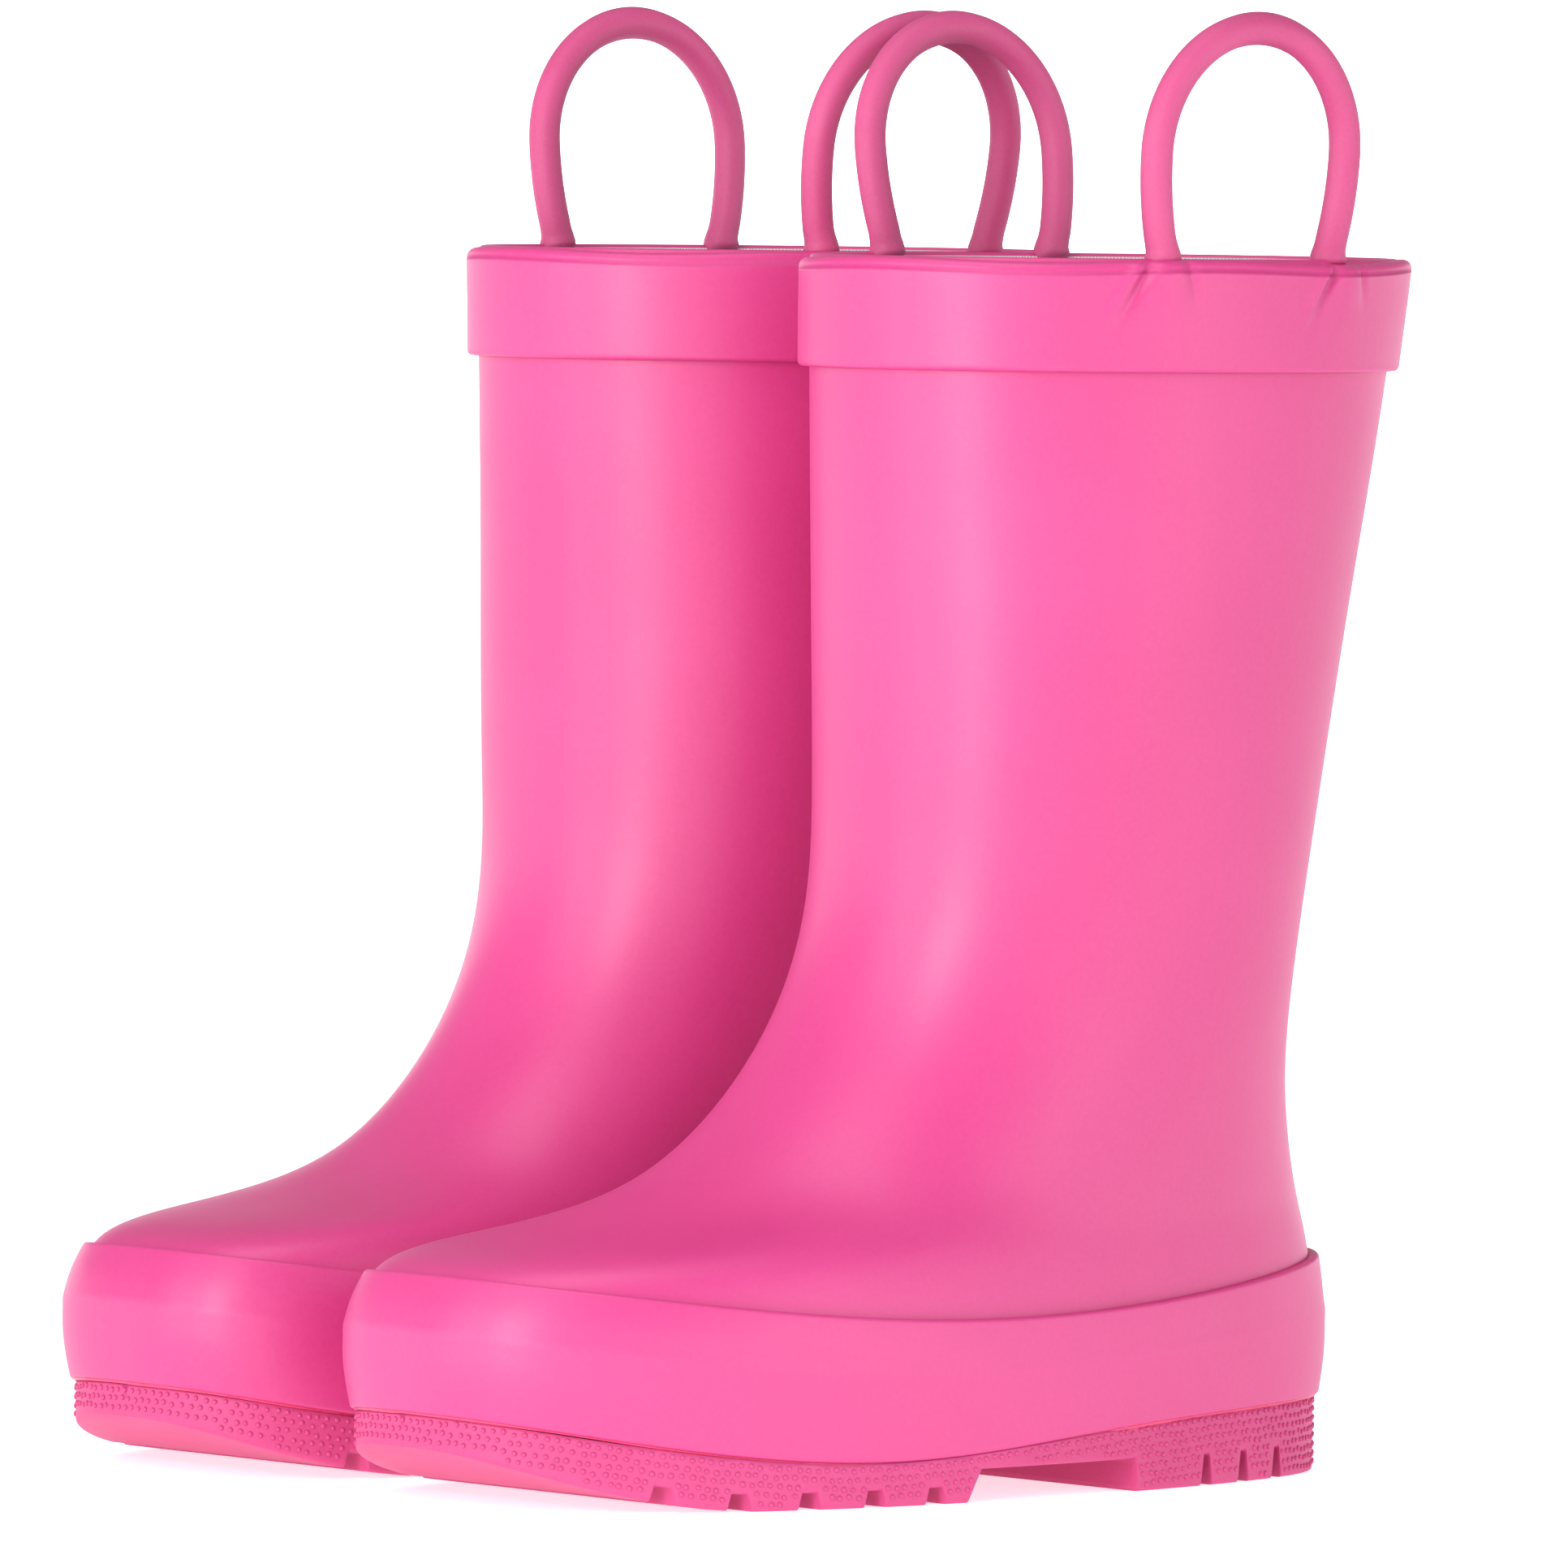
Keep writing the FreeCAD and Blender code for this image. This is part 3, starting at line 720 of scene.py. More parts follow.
@dataclass(frozen=True)
class Lining:
    """The cotton lining glued inside the shell."""

    inset: float = 2.12
    wall: float = 0.9
    rows: int = 110
    lowest: float = 16.0

    def build(self, place: BootFrame) -> None:
        """Make the lining's wall, with its pattern map in millimetres of yarn.

        Args:
            place: where the boot stands.
        """
        outside = FORM.upper_grid(self.rows)
        outside = outside[outside[:, :, 2].mean(axis=1) > self.lowest]
        grid = wall_profile(outside, self.inset, self.wall, 3)
        around = arc_lengths(grid[len(grid) // 2])
        climbs = np.linalg.norm(np.diff(grid, axis=0), axis=-1).mean(axis=1)
        rise = np.concatenate([[0], np.cumsum(climbs)])
        uvs = np.stack(np.broadcast_arrays(around[None, :], rise[:, None]), axis=-1)
        piece = place.piece("lining", grid, uvs)
        PALETTE.dress(piece, JERSEY)
        place.ride(piece, "cotton_jersey", "lining")


@dataclass(frozen=True)
class Insole:
    """The foam footbed on the sloping lasting plane, cupped a little at its edge."""

    inset: float = 6.6
    heel_height: float = 19.2
    toe_height: float = 27.4
    wall: float = 4.0
    cup: float = 1.6
    rows: int = 40

    def build(self, place: BootFrame) -> None:
        """Make rings that shrink to the middle, over the top and back under it.

        A ring's height is the sloping plane's, plus the cup, which is the fourth power of its
        share of the full outline.

        Args:
            place: where the boot stands.
        """
        outline = FORM.ring_points(FORM.foxing_rings[1].moved_in(self.inset), FORM.angles())
        middle = outline.mean(axis=0)
        shares = np.linspace(0.02, 1, self.rows)
        rounding = np.sqrt(np.clip(1 - ((shares - 0.95) / 0.05).clip(0) ** 2, 0, 1))
        tops = self.wall * (0.55 + 0.45 * rounding) + self.cup * shares ** 4 * rounding
        spread_out = np.concatenate([shares, shares[::-1]])
        lifts = np.concatenate([tops, np.zeros(self.rows)])
        flat = middle[None, None] + (outline - middle)[None] * spread_out[:, None, None]
        slope = (self.toe_height - self.heel_height) / np.ptp(outline[:, 1])
        flat[..., 2] = self.heel_height + slope * flat[..., 1] + lifts[:, None]
        points, faces = capped_grid(place.place(flat))
        uvs = np.vstack([flat[..., :2].reshape(-1, 2), middle[None, :2], middle[None, :2]])
        piece = new_piece(f"{place.side.word}_insole_form", points, faces, uvs)
        PALETTE.dress(piece, INSOLE_KNIT)
        place.ride(piece, "foam_insole", "insole")


@dataclass(frozen=True)
class Pucker:
    """One bump or crease beside a loop's leg: a bell across it and a bell down the band."""

    height: float
    width: float
    fall: float
    offset: float = 0.0
    slant: float = 0.0
    start: float = 0.0

    def relief(self, gap: Array, below: Array) -> Array:
        """Height at a distance from the leg and a depth under the rim; below nought is a crease."""
        across = gap + self.offset + self.slant * below
        return self.height * bell(across, self.width) * bell(below - self.start, self.fall)


@dataclass(frozen=True)
class CollarBand:
    """The band that is folded round the rim, puckered where the outer loop's legs go in."""

    height: float = 18.0
    proud: float = 2.0
    over: float = 1.4
    corner: float = 0.8
    crest: float = 0.6
    rows: int = 34
    columns: int = 720
    leg_reach: float = 19.6
    crest_start: float = -1.4
    sway: float = 0.18
    rim_wave: float = 0.35
    outer_puckers: tuple[Pucker, ...] = (
        Pucker(0.9, 4.2, 7.5), Pucker(-1.15, 1.1, 6.5, 3.4, 0.55),
        Pucker(0.6, 1.3, 6.0, 5.6, 0.55, 2.0), Pucker(-0.7, 1.0, 4.5, -3.6, -0.2))
    inner_pucker: Pucker = Pucker(0.6, 4.4, 8.0)

    @staticmethod
    def leg_gap(around: Array, leg: float, full: float) -> Array:
        """Signed distance along the rim from a leg, the shorter way round."""
        return (around - leg + full / 2) % full - full / 2

    def leg_places(self, around: Array, forward: Array, half: Array) -> list[float]:
        """Distances along the rim of a loop's two legs.

        Args:
            around: distance along the rim of each column.
            forward: forward position of each column.
            half: which columns are on the loop's side of the boot.

        Returns:
            The front leg's distance and the rear one's.
        """
        middles = (FORM.loop_forward + self.leg_reach, FORM.loop_forward - self.leg_reach)
        return [float(around[half][np.argmin(np.abs(forward[half] - middle))])
                for middle in middles]

    def relief(self, around: Array, below: Array, legs: Sequence[float], full: float) -> Array:
        """How far the band stands out.

        Over each leg it bulges as a bell both ways.  A narrow crease runs down and forward from
        the leg's front edge, with a soft ridge in front of it, and both fade downwards.

        Args:
            around: distance along the rim of each point.
            below: depth of each point under the rim.
            legs: distances along the rim of the legs.
            full: length of the rim.

        Returns:
            The height of the relief in millimetres.
        """
        total = self.sway * np.sin(around / full * 2 * np.pi * 3 + 0.7) * bell(below, 9.0)
        for leg in legs:
            gap = self.leg_gap(around, leg, full)
            for pucker in self.outer_puckers:
                total = total + pucker.relief(gap, below)
        return total

    def build(self, place: BootFrame) -> None:
        """Carry a folded strip's profile round the rim.

        The profile goes up the outside from a round lower corner, over the crest as half an
        ellipse, and down inside the rim.

        Args:
            place: where the boot stands.
        """
        shaft = replace(FORM, columns=self.columns).upper_grid(200)
        rim = float(shaft[-1, :, 2].mean())
        turn = np.linspace(0, np.pi / 2, 5)
        low_out = self.proud - self.corner * (1 - np.sin(turn))
        low_up = self.corner * (1 - np.cos(turn)) - self.height
        straight = np.linspace(self.corner - self.height, self.crest_start, self.rows)[1:]
        crest_turn = np.linspace(0, np.pi, 11)
        half = (self.proud + self.over) / 2
        crest_out = self.proud - half + half * np.cos(crest_turn)
        crest_up = (self.crest_start
                    + (self.crest - self.crest_start) * np.sin(crest_turn) ** 0.8)
        inside = np.linspace(-2.4, -5.0, 4)
        outs = np.concatenate([[0.05], low_out, np.full(len(straight), self.proud), crest_out,
                               np.full(len(inside), -self.over), [0.05]])
        ups = np.concatenate([[-self.height], low_up, straight, crest_up, inside, [-5.2]])
        base = rows_at_heights(shaft, np.broadcast_to(rim + np.minimum(ups, -0.01)[:, None],
                                                      (len(ups), self.columns)))
        normals = surface_normals(np.array(shaft[-3:]))[1]
        around = arc_lengths(shaft[-1])
        full = float(around[-1] + np.linalg.norm(shaft[-1, 0] - shaft[-1, -1]))
        forward = shaft[-1, :, 1]
        outer = np.arange(self.columns) < self.columns // 2
        legs = self.leg_places(around, forward, outer)
        inner_legs = self.leg_places(around, forward, ~outer)
        out_share = np.clip(outs / self.proud, 0, 1)[:, None]
        bumps = self.relief(around[None, :], -ups[:, None], legs, full)
        soft = sum(self.inner_pucker.relief(self.leg_gap(around[None, :], leg, full), -ups[:, None])
                   for leg in inner_legs)
        grid = base + normals[None] * (outs[:, None] + (bumps + soft) * out_share)[..., None]
        wave = (self.rim_wave * np.sin(around / full * 2 * np.pi * 5 + 1.1)
                * smooth_step(1 + ups / 6)[:, None])
        grid[..., 2] = rim + ups[:, None] + wave
        piece = place.piece("top_band", grid)
        PALETTE.dress(piece, SATIN_RUBBER)
        place.ride(piece, "moulded_rubber", "top_band")


@dataclass(frozen=True)
class Foxing:
    """The thick strip round the foot, from the outsole's seam up to its own dipping edge."""

    wall: float = 2.3
    lip: float = 0.7
    ridge: float = 0.14
    ridge_share: float = 0.6
    waviness: float = 0.1
    bead: float = 0.32
    bead_change: float = 0.12
    bead_sunk: float = 0.85
    rows: int = 44

    def build(self, place: BootFrame) -> None:
        """Carry the strip's profile round the foot.

        Its outside lies between two seams, with a faint moulded ridge as a bell across it and
        round lips at both edges; its inside is the same rows moved in by the wall.

        Args:
            place: where the boot stands.
        """
        dense = FORM.foxing_grid(200)
        forward = dense[100, :, 1]
        low = FORM.seam_height(FORM.sole_seam, forward)
        high = FORM.seam_height(FORM.top_seam, forward)
        edge = self.lip / float((high - low).mean())
        shares = np.concatenate([np.linspace(0, edge, 5),
                                 np.linspace(edge, 1 - edge, self.rows)[1:-1],
                                 np.linspace(1 - edge, 1, 5)])
        heights = low[None] + shares[:, None] * (high - low)[None]
        rows = rows_at_heights(dense, heights)
        normals = surface_normals(rows)
        near = np.clip(np.minimum(shares, 1 - shares) / edge, 0, 1)
        lips = self.lip * (1 - np.sqrt(1 - (1 - near) ** 2))
        ripple = self.waviness * np.sin(forward / 13)[None] * bell(shares - 0.3, 0.2)[:, None]
        swell = self.ridge * bell(shares - self.ridge_share, 0.06)
        out = rows + normals * (swell[:, None] + ripple - lips[:, None])[..., None]
        inside = (rows - normals * self.wall)[::-1]
        piece = place.piece("foxing", np.concatenate([out, inside]))
        PALETTE.dress(piece, SATIN_RUBBER)
        place.ride(piece, "moulded_rubber", "foxing")
        self.build_bond(place, dense, low)

    def build_bond(self, place: BootFrame, dense: Array, low: Array) -> None:
        """Carry a small round bead of cement along the joint under the strip.

        Args:
            place: where the boot stands.
            dense: grid of the strip's outside.
            low: height of the joint at each column.
        """
        row = rows_at_heights(dense, (low - 0.1)[None])[0]
        normal = surface_normals(rows_at_heights(dense, np.stack([low - 1, low, low + 1])))[1]
        around = arc_lengths(row)
        thick = self.bead + self.bead_change * np.sin(around / 7.3) * np.sin(around / 19.0)
        turn = np.linspace(0, 2 * np.pi, 10, endpoint=False)[:, None, None]
        bead = row[None] - normal[None] * (self.bead_sunk - thick[None, :, None] * np.cos(turn))
        bead = bead + np.array([0, 0, 1.0]) * thick[None, :, None] * np.sin(turn)
        piece = place.piece("bond_line", bead)
        PALETTE.dress(piece, BOND_CEMENT)
        place.ride(piece, "moulded_rubber")


@dataclass(frozen=True)
class Notches:
    """A row of trapezoid notches across the tread."""

    first: float
    pitch: float
    count: int
    mouth: float
    roof: float
    depth: float

    def middles(self) -> Array:
        """Forward positions of the notches."""
        return self.first + self.pitch * np.arange(self.count)

    def corners(self) -> Array:
        """Forward positions of every corner."""
        halves = np.array([-self.mouth, -self.roof, self.roof, self.mouth]) / 2
        return (self.middles()[:, None] + halves[None]).ravel()

    def rise(self, forward: Array) -> Array:
        """Height of the notches over the tread: a straight flank between mouth and roof.

        Args:
            forward: forward positions.

        Returns:
            One height for each position.
        """
        gap = np.abs(forward[..., None] - self.middles()).min(axis=-1)
        flank = (self.mouth - self.roof) / 2
        return self.depth * np.clip((self.mouth / 2 - gap) / flank, 0, 1)


@dataclass(frozen=True)
class Outsole:
    """The lugged outsole with its arch, and the pebbles on its side wall."""

    inset: float = 0.8
    spring: float = 10.5
    spring_length: float = 46.0
    arch_back: float = 63.0
    arch_front: float = 103.0
    arch_rise: float = 5.5
    arch_slant: float = 3.0
    corner: float = 0.7
    heel_round: float = 3.0
    pebble: float = 0.5
    pebble_rise: float = 0.34
    pebble_pitch: float = 1.75
    pebble_sunk: float = 0.12
    fore: Notches = Notches(110, 12.6, 5, 4.4, 3.0, 2.8)
    heel: Notches = Notches(24, 10.4, 3, 3.2, 1.6, 5.2)

    def tread(self, forward: Array) -> Array:
        """Height of the tread: a square law up to the toe, a round heel, the arch as a clipped
        slope, and the notches.

        Args:
            forward: forward positions.

        Returns:
            One height for each position.
        """
        toe = FORM.foxing_rings[2].front
        past = np.maximum(forward - (toe - self.spring_length), 0) / self.spring_length
        behind = np.maximum(self.heel_round + 1.5 - forward, 0) / self.heel_round
        heel = 1.6 * np.minimum(behind, 1.6) ** 2
        back_wall = np.clip((forward - self.arch_back) / 0.3, 0, 1)
        front_slope = np.clip((self.arch_front - forward) / self.arch_slant, 0, 1)
        arch = self.arch_rise * np.minimum(back_wall, front_slope)
        return (self.spring * past ** 2 + heel + arch
                + self.fore.rise(forward) + self.heel.rise(forward))

    def outline(self) -> Ring:
        """The outsole's own outline."""
        return FORM.foxing_rings[1].moved_in(self.inset)

    def half_width(self, forward: Array) -> tuple[Array, Array]:
        """Half width and sideways middle of the outline at forward positions.

        Args:
            forward: forward positions.

        Returns:
            The half widths and the middles.
        """
        ring = self.outline()
        share = np.clip((forward - ring.back) / (ring.front - ring.back), 0, 1)
        along = 2 * share - 1
        rounded = np.clip(1 - np.abs(along) ** ring.squareness, 0, 1) ** (1 / ring.squareness)
        width = ring.half_width * rounded
        width = width * (1 - FORM.heel_narrowing * (1 - smooth_step(share / FORM.ball_share)))
        bend = FORM.toe_bend * np.maximum((share - FORM.bend_start) / (1 - FORM.bend_start), 0) ** 2
        return width, bend

    def stations(self) -> Array:
        """Forward positions of the cross-sections, close at both tips and at every corner.

        Returns:
            The positions, rising.
        """
        ring = self.outline()
        turn = np.linspace(0, np.pi, 150)
        along = signed_power(-np.cos(turn), 2 / ring.squareness)
        tips = ring.back + (along + 1) / 2 * (ring.front - ring.back)
        tips[0], tips[-1] = ring.back + 0.001, ring.front - 0.001
        corners = np.concatenate([self.fore.corners(), self.heel.corners(),
                                  [self.arch_back, self.arch_back + 0.3, self.arch_front,
                                   self.arch_front - self.arch_slant]])
        near = (corners[:, None] + np.array([-0.25, -0.06, 0.06, 0.25])[None]).ravel()
        return np.unique(np.round(np.concatenate([tips, near]), 3))

    def build(self, place: BootFrame) -> None:
        """Carry a flat cross-section with two round lower corners along the sole.

        Args:
            place: where the boot stands.
        """
        forward = self.stations()
        width, bend = self.half_width(forward)
        top = FORM.seam_height(FORM.sole_seam, forward) + 0.05
        tread = np.minimum(self.tread(forward), top - 1.0)
        turn = np.linspace(0, np.pi / 2, 6)
        corner = np.minimum(self.corner, width * 0.5)[:, None]
        side_up = np.linspace(1, 0, 9)[None, :-1]
        wall = np.broadcast_to(width[:, None], (len(forward), 8))
        wall_height = (tread[:, None] + corner + side_up * (top - tread)[:, None]
                       - side_up * corner)
        round_out = width[:, None] - corner * (1 - np.cos(turn))[None]
        round_up = tread[:, None] + corner * (1 - np.sin(turn))[None]
        under = (width[:, None] - corner) * np.linspace(1, 0, 9)[None, 1:]
        under_up = np.broadcast_to(tread[:, None], under.shape)
        half_x = np.concatenate([wall, round_out, under], axis=1)
        half_z = np.concatenate([wall_height, round_up, under_up], axis=1)
        across = np.concatenate([half_x, -half_x[:, -2::-1]], axis=1)
        heights = np.concatenate([half_z, half_z[:, -2::-1]], axis=1)
        lid = np.linspace(-1, 1, 10)[None, 1:-1] * width[:, None]
        across = np.concatenate([across, lid], axis=1) + bend[:, None]
        heights = np.concatenate([heights, np.broadcast_to(top[:, None], lid.shape)], axis=1)
        lengths = np.broadcast_to(forward[:, None], across.shape)
        piece = place.capped("outsole", np.stack([across, lengths, heights], axis=-1))
        PALETTE.dress(piece, SOLE_RUBBER)
        place.ride(piece, "sole_rubber", "outsole")
        self.build_pebbles(place)

    def build_pebbles(self, place: BootFrame) -> None:
        """Set a low dome at each spot of a staggered pattern on the side wall.

        A dome is two rings of eight points and a crown, sunk a little into the wall.

        Args:
            place: where the boot stands.
        """
        angles = np.linspace(0, 2 * np.pi, 6000, endpoint=False)
        rim = FORM.ring_points(self.outline(), angles)[:, :2]
        along = arc_lengths(rim)
        full = float(along[-1] + np.linalg.norm(rim[0] - rim[-1]))
        count = int(full / self.pebble_pitch)
        heights = np.arange(0.9, 18, self.pebble_pitch * 0.86)
        stagger = (np.arange(len(heights)) % 2) * 0.5
        spots = ((np.arange(count)[None] + stagger[:, None]) * full / count) % full
        level = np.broadcast_to(heights[:, None], spots.shape)
        rng = np.random.default_rng(7)
        spots = (spots + rng.uniform(-0.25, 0.25, spots.shape)).ravel() % full
        level = (level + rng.uniform(-0.2, 0.2, level.shape)).ravel()
        closed = np.append(along, full)
        looped = np.vstack([rim, rim[:1]])
        base = np.stack([np.interp(spots, closed, looped[:, axis]) for axis in (0, 1)], axis=-1)
        ahead = np.stack([np.interp((spots + 0.2) % full, closed, looped[:, axis])
                          for axis in (0, 1)], axis=-1)
        top = FORM.seam_height(FORM.sole_seam, base[:, 1])
        height = top - level
        kept = (height - self.tread(base[:, 1]) > 0.95)
        kept &= height - self.tread(base[:, 1] + 0.6) > 0.3
        kept &= height - self.tread(base[:, 1] - 0.6) > 0.3
        base, ahead, height = base[kept], ahead[kept], height[kept]
        tangent = ahead - base
        tangent /= np.linalg.norm(tangent, axis=1, keepdims=True)
        tangent3 = np.concatenate([tangent, np.zeros((len(base), 1))], axis=1)
        outward = np.stack([tangent[:, 1], -tangent[:, 0], np.zeros(len(base))], axis=-1)
        middle = np.array([*rim.mean(axis=0), 0.0])
        centre = np.concatenate([base, height[:, None]], axis=1)
        facing = np.sign(np.einsum("ij,ij->i", outward, centre - middle))
        outward = outward * facing[:, None]
        turn = np.linspace(0, 2 * np.pi, 8, endpoint=False)
        size = self.pebble * rng.uniform(0.85, 1.1, len(base))
        rings = []
        for radius, rise in ((1.0, -0.12), (0.72, 0.7)):
            flat = (np.cos(turn)[None, :, None] * tangent3[:, None]
                    + np.sin(turn)[None, :, None] * np.array([0, 0, 1.0]))
            rings.append(centre[:, None] + flat * (radius * size)[:, None, None]
                         + outward[:, None] * (rise * self.pebble_rise))
        crown = centre + outward * self.pebble_rise
        foot = centre - outward * self.pebble_sunk
        points = np.concatenate([*rings, crown[:, None], foot[:, None]], axis=1)
        first = np.arange(8)
        after = (first + 1) % 8
        quads = np.stack([first, after, after + 8, first + 8], axis=-1)
        caps = np.vstack([np.stack([first + 8, after + 8, np.full(8, 16)], axis=-1),
                          np.stack([after, first, np.full(8, 17)], axis=-1)])
        shift = (np.arange(len(base)) * 18)[:, None, None]
        faces = [(quads[None] + shift).reshape(-1, 4), (caps[None] + shift).reshape(-1, 3)]
        piece = new_piece(f"{place.side.word}_outsole_pebbles",
                          place.place(points).reshape(-1, 3), faces)
        PALETTE.dress(piece, SOLE_RUBBER)
        place.ride(piece, "sole_rubber")
        LOG.info("%s pebbles: %d", place.side.word, len(base))


@dataclass(frozen=True)
class PullLoop:
    """A round rubber loop whose two legs go down into the collar band."""

    which: str
    inward: int
    lean: float
    radius: float = 2.7
    span: float = 42.0
    leg: float = 14.0
    foot_pinch: float = 1.7
    buried: float = 10.0
    tab_share: float = 0.3
    rim_drop: float = 4.7
    flare: float = 0.55
    parting: float = 0.13
    bend_below: float = 4.5
    bend_above: float = 7.0
    rows: int = 150
    sides: int = 40

    def centre_line(self, place: BootFrame) -> tuple[Array, Array, Array]:
        """The loop's middle line and the two directions across it.

        Up each leg it runs straight, pinched a little at the foot as a square, and over the top it
        is half a circle, all in a plane that leans out from the hinge.

        Args:
            place: where the boot stands.

        Returns:
            Points of the line, its normal in the loop's plane, and the plane's own normal.
        """
        half = self.span / 2
        length = self.buried + self.leg
        arch = math.pi * half
        travel = np.linspace(0, 2 * length + arch, self.rows)
        turn = np.clip((travel - length) / half, 0, np.pi)
        rear = travel > length + arch / 2
        up = np.minimum(np.where(rear, 2 * length + arch - travel, travel), length)
        height = up - self.buried + np.sin(turn) * half
        forward = np.cos(turn) * half
        pinch = self.foot_pinch * np.clip((self.leg - height) / self.leg, 0, 1.2) ** 2
        forward = forward - np.sign(forward) * pinch
        tilt = math.radians(self.lean) * self.inward
        leaning = np.maximum(height, 0)
        side = self.inward * place.loop_side + np.sin(tilt) * leaning
        rise = place.hinge_height + np.cos(tilt) * leaning + np.minimum(height, 0)
        line = np.stack([side, FORM.loop_forward + forward, rise], axis=-1)
        heading = np.gradient(line, axis=0)
        heading /= np.linalg.norm(heading, axis=1, keepdims=True)
        flat = np.array([math.cos(tilt), 0, -math.sin(tilt)])
        normal = np.cross(heading, flat)
        normal /= np.linalg.norm(normal, axis=1, keepdims=True)
        return line, normal, np.cross(normal, heading)

    def build(self, place: BootFrame) -> None:
        """Carry a circle along the line.

        It is flared at the rim as a bell, and a thin parting line runs along the loop's inner and
        outer edge, where the two halves of its mould met.  Under the rim it goes flat, by a smooth
        step, into a tab that lies in the wall.

        Args:
            place: where the boot stands.
        """
        line, normal, flat = self.centre_line(place)
        rim = place.hinge_height - self.rim_drop
        flare = self.flare * bell(line[:, 2] - rim - 0.6, 1.6)
        turn = np.linspace(0, 2 * np.pi, self.sides, endpoint=False)
        seam = self.parting * bell(np.sin(turn), 0.13)
        radius = self.radius + flare[:, None] + seam[None]
        thick = self.tab_share + (1 - self.tab_share) * smooth_step((line[:, 2] - rim + 1.0) / 2.2)
        circle = (np.cos(turn)[None, :, None] * normal[:, None]
                  + np.sin(turn)[None, :, None] * (flat * thick[:, None])[:, None])
        grid = line[:, None] + circle * radius[..., None]
        word = f"{place.side.word}_{self.which}_handle"
        points, faces = capped_grid(place.place(grid))
        piece = new_piece(f"{word}_form", points, faces)
        PALETTE.dress(piece, LOOP_RUBBER)
        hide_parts(word, f"{word}_roots")
        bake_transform(piece)


LOOPS = (PullLoop("outer", -1, 4.0), PullLoop("inner", 1, 7.5))


@dataclass(frozen=True)
class Boot:
    """One whole boot."""

    side: Side

    def build(self) -> None:
        """Build every piece that shows, and dress the hidden ones."""
        place = BootFrame(self.side)
        makers: tuple[Callable[[BootFrame], None], ...] = (
            Upper().build, Lining().build, Insole().build, CollarBand().build, Foxing().build,
            Outsole().build, *(loop.build for loop in LOOPS))
        for maker in makers:
            maker(place)
            LOG.info("%s boot: %s", self.side.word, maker.__self__.__class__.__name__)
        hidden = {"heel_counter": STIFFENER_RUBBER, "toe_puff": STIFFENER_RUBBER,
                  "sponge_midsole": SPONGE, "lasting_board": FIBRE_BOARD}
        for node, finish in hidden.items():
            PALETTE.dress(frame["nodes"][f"{self.side.word}_{node}"], finish)


# ------------------------------------------------------------------------------------- the studio
@dataclass(frozen=True)
class Camera:
    """A long lens low in front of the left boot's outer side."""

    azimuth: float = 49.7
    elevation: float = 2.4
    distance: float = 2.9
    lens: float = 394.6584
    target: tuple[float, float, float] = (0.0183, 0.0, 0.1125)
    shift: tuple[float, float] = (-0.010352, 0.0144928)
    roll: float = -0.76
    sensor: float = 36.0

    def build(self) -> None:
        """Stand the camera on its sight line and aim it at the target.

        Its right, up and back directions come from the azimuth and elevation, turned by the roll.
        """
        angles = (self.azimuth, self.elevation, self.roll)
        turn, tilt, roll = (math.radians(angle) for angle in angles)
        right = np.array([math.cos(turn), math.sin(turn), 0])
        ahead = np.array([-math.sin(turn) * math.cos(tilt), math.cos(turn) * math.cos(tilt),
                          -math.sin(tilt)])
        above = np.cross(right, ahead)
        rolled_right = right * math.cos(roll) - above * math.sin(roll)
        rolled_above = right * math.sin(roll) + above * math.cos(roll)
        data = bpy.data.cameras.new("studio_camera")
        data.sensor_width = self.sensor
        data.lens = self.lens
        data.shift_x, data.shift_y = self.shift
        data.clip_end = 50.0
        camera = bpy.data.objects.new("studio_camera", data)
        spot = np.array(self.target) - ahead * self.distance
        matrix = np.eye(4)
        matrix[:3] = np.stack([rolled_right, rolled_above, -ahead, spot], axis=1)
        camera.matrix_world = Matrix(matrix.tolist())
        bpy.context.scene.collection.objects.link(camera)
        bpy.context.scene.camera = camera


@dataclass(frozen=True)
class SoftBox:
    """A square studio lamp, placed by its angles round the boots and aimed at them."""

    name: str
    azimuth: float
    elevation: float
    distance: float
    wide: float
    tall: float
    power: float

    def build(self) -> None:
        """Stand the lamp on a sphere round the aim point and turn it inwards."""
        turn, tilt = math.radians(self.azimuth), math.radians(self.elevation)
        aim = np.array([0.0, 0.0, 0.1])
        away = np.array([math.sin(turn) * math.cos(tilt), -math.cos(turn) * math.cos(tilt),
                         math.sin(tilt)])
        right = np.array([math.cos(turn), math.sin(turn), 0])
        data = bpy.data.lights.new(self.name, "AREA")
        data.shape, data.size, data.size_y = "RECTANGLE", self.wide, self.tall
        data.energy = self.power
        lamp = bpy.data.objects.new(self.name, data)
        matrix = np.eye(4)
        matrix[:3] = np.stack([right, np.cross(away, right), away, aim + away * self.distance],
                              axis=1)
        lamp.matrix_world = Matrix(matrix.tolist())
        bpy.context.scene.collection.objects.link(lamp)


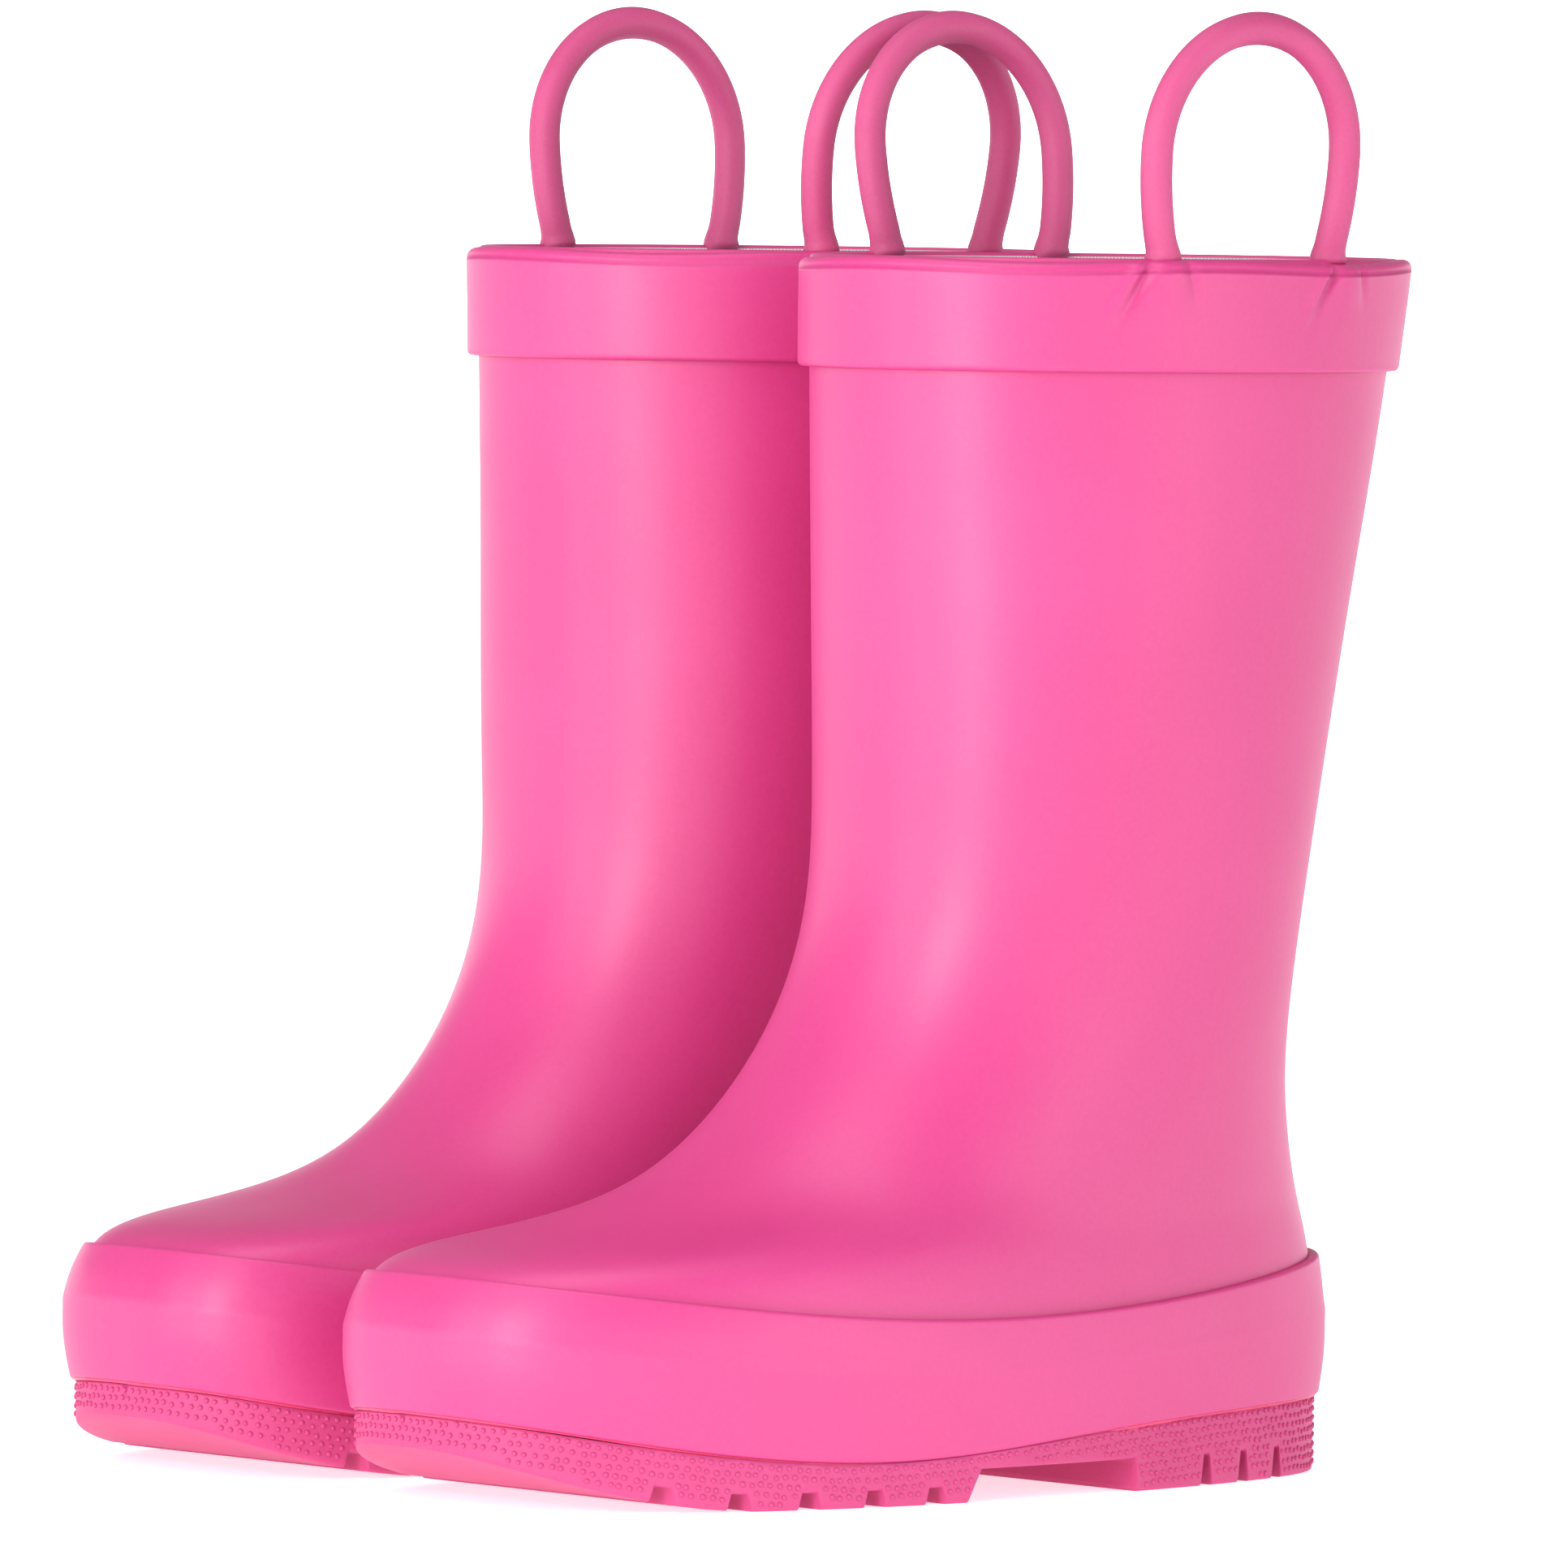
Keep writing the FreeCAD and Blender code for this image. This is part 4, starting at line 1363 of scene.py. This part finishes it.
@dataclass(frozen=True)
class Studio:
    """A flat pale floor with a round pale wall, soft lamps and an even white surround."""

    reach: float = 6.0
    wall_tall: float = 1.2
    surround: float = 0.38
    floor_glow: float = 0.62
    wall_glow: float = 1.05
    lamps: tuple[SoftBox, ...] = (
        SoftBox("tall_left_key", 24.0, 14.0, 1.8, 0.45, 1.5, 21.0),
        SoftBox("far_left_key", -10.0, 16.0, 1.8, 0.4, 1.5, 8.0),
        SoftBox("right_fill", 112.0, 16.0, 2.0, 0.8, 1.5, 6.0),
        SoftBox("overhead", 30.0, 78.0, 1.8, 1.2, 1.2, 9.0))

    def build(self) -> None:
        """Lay the floor, light the surround and stand the lamps."""
        scene = bpy.context.scene
        scene.view_settings.view_transform = "Standard"
        world = bpy.data.worlds.new("studio_surround")
        world.use_nodes = True
        back = world.node_tree.nodes["Background"]
        back.inputs["Color"].default_value = linear("#FFFFFF")
        back.inputs["Strength"].default_value = self.surround
        scene.world = world
        half = self.reach
        flat = np.array([[[-half, -half, 0], [half, -half, 0]],
                         [[-half, half, 0], [half, half, 0]]])
        self.board("floor", flat, self.floor_glow)
        turn = np.linspace(0, 2 * np.pi, 48, endpoint=False)
        low = np.stack([np.cos(turn), np.sin(turn), np.zeros(48)], axis=-1) * half * 0.98
        wall = np.stack([low, low + np.array([0, 0, self.wall_tall])])
        self.board("round_wall", wall, self.wall_glow)
        for lamp in self.lamps:
            lamp.build()

    def board(self, name: str, corners: Array, glow: float) -> None:
        """A pale painted board with a faint unevenness, lit a little from within.

        Args:
            name: the object's name.
            corners: two rows of points, joined by four-cornered faces; a long row closes round.
            glow: strength of the light it gives.
        """
        mesh = bpy.data.meshes.new(name)
        if corners.shape[1] > 2:
            faces = grid_faces(*corners.shape[:2], False)
        else:
            faces = np.array([[0, 1, 3, 2]])
        mesh.from_pydata(corners.reshape(-1, 3).tolist(), [], faces.tolist())
        board = bpy.data.objects.new(name, mesh)
        bpy.context.scene.collection.objects.link(board)
        material, tree = start_material(f"{name}_painted_board")
        where = add_node(tree, "ShaderNodeTexCoord").outputs["Object"]
        colour = tint(tree, grain(tree, 300.0, 2.0, where), "#FCFCFC", "#FFFFFF")
        shader = add_node(tree, "ShaderNodeBsdfPrincipled", {}, {
            "Base Color": colour, "Roughness": 0.95, "Specular IOR Level": 0.1,
            "Emission Color": colour, "Emission Strength": glow})
        add_node(tree, "ShaderNodeOutputMaterial", {}, {"Surface": shader.outputs["BSDF"]})
        mesh.materials.append(material)


def main() -> None:
    """Build both boots and the studio, in order."""
    logging.basicConfig(level=logging.INFO, format="%(name)s: %(message)s")
    for side in Side:
        Boot(side).build()
    Studio().build()
    Camera().build()


if __name__ == "__main__":
    main()
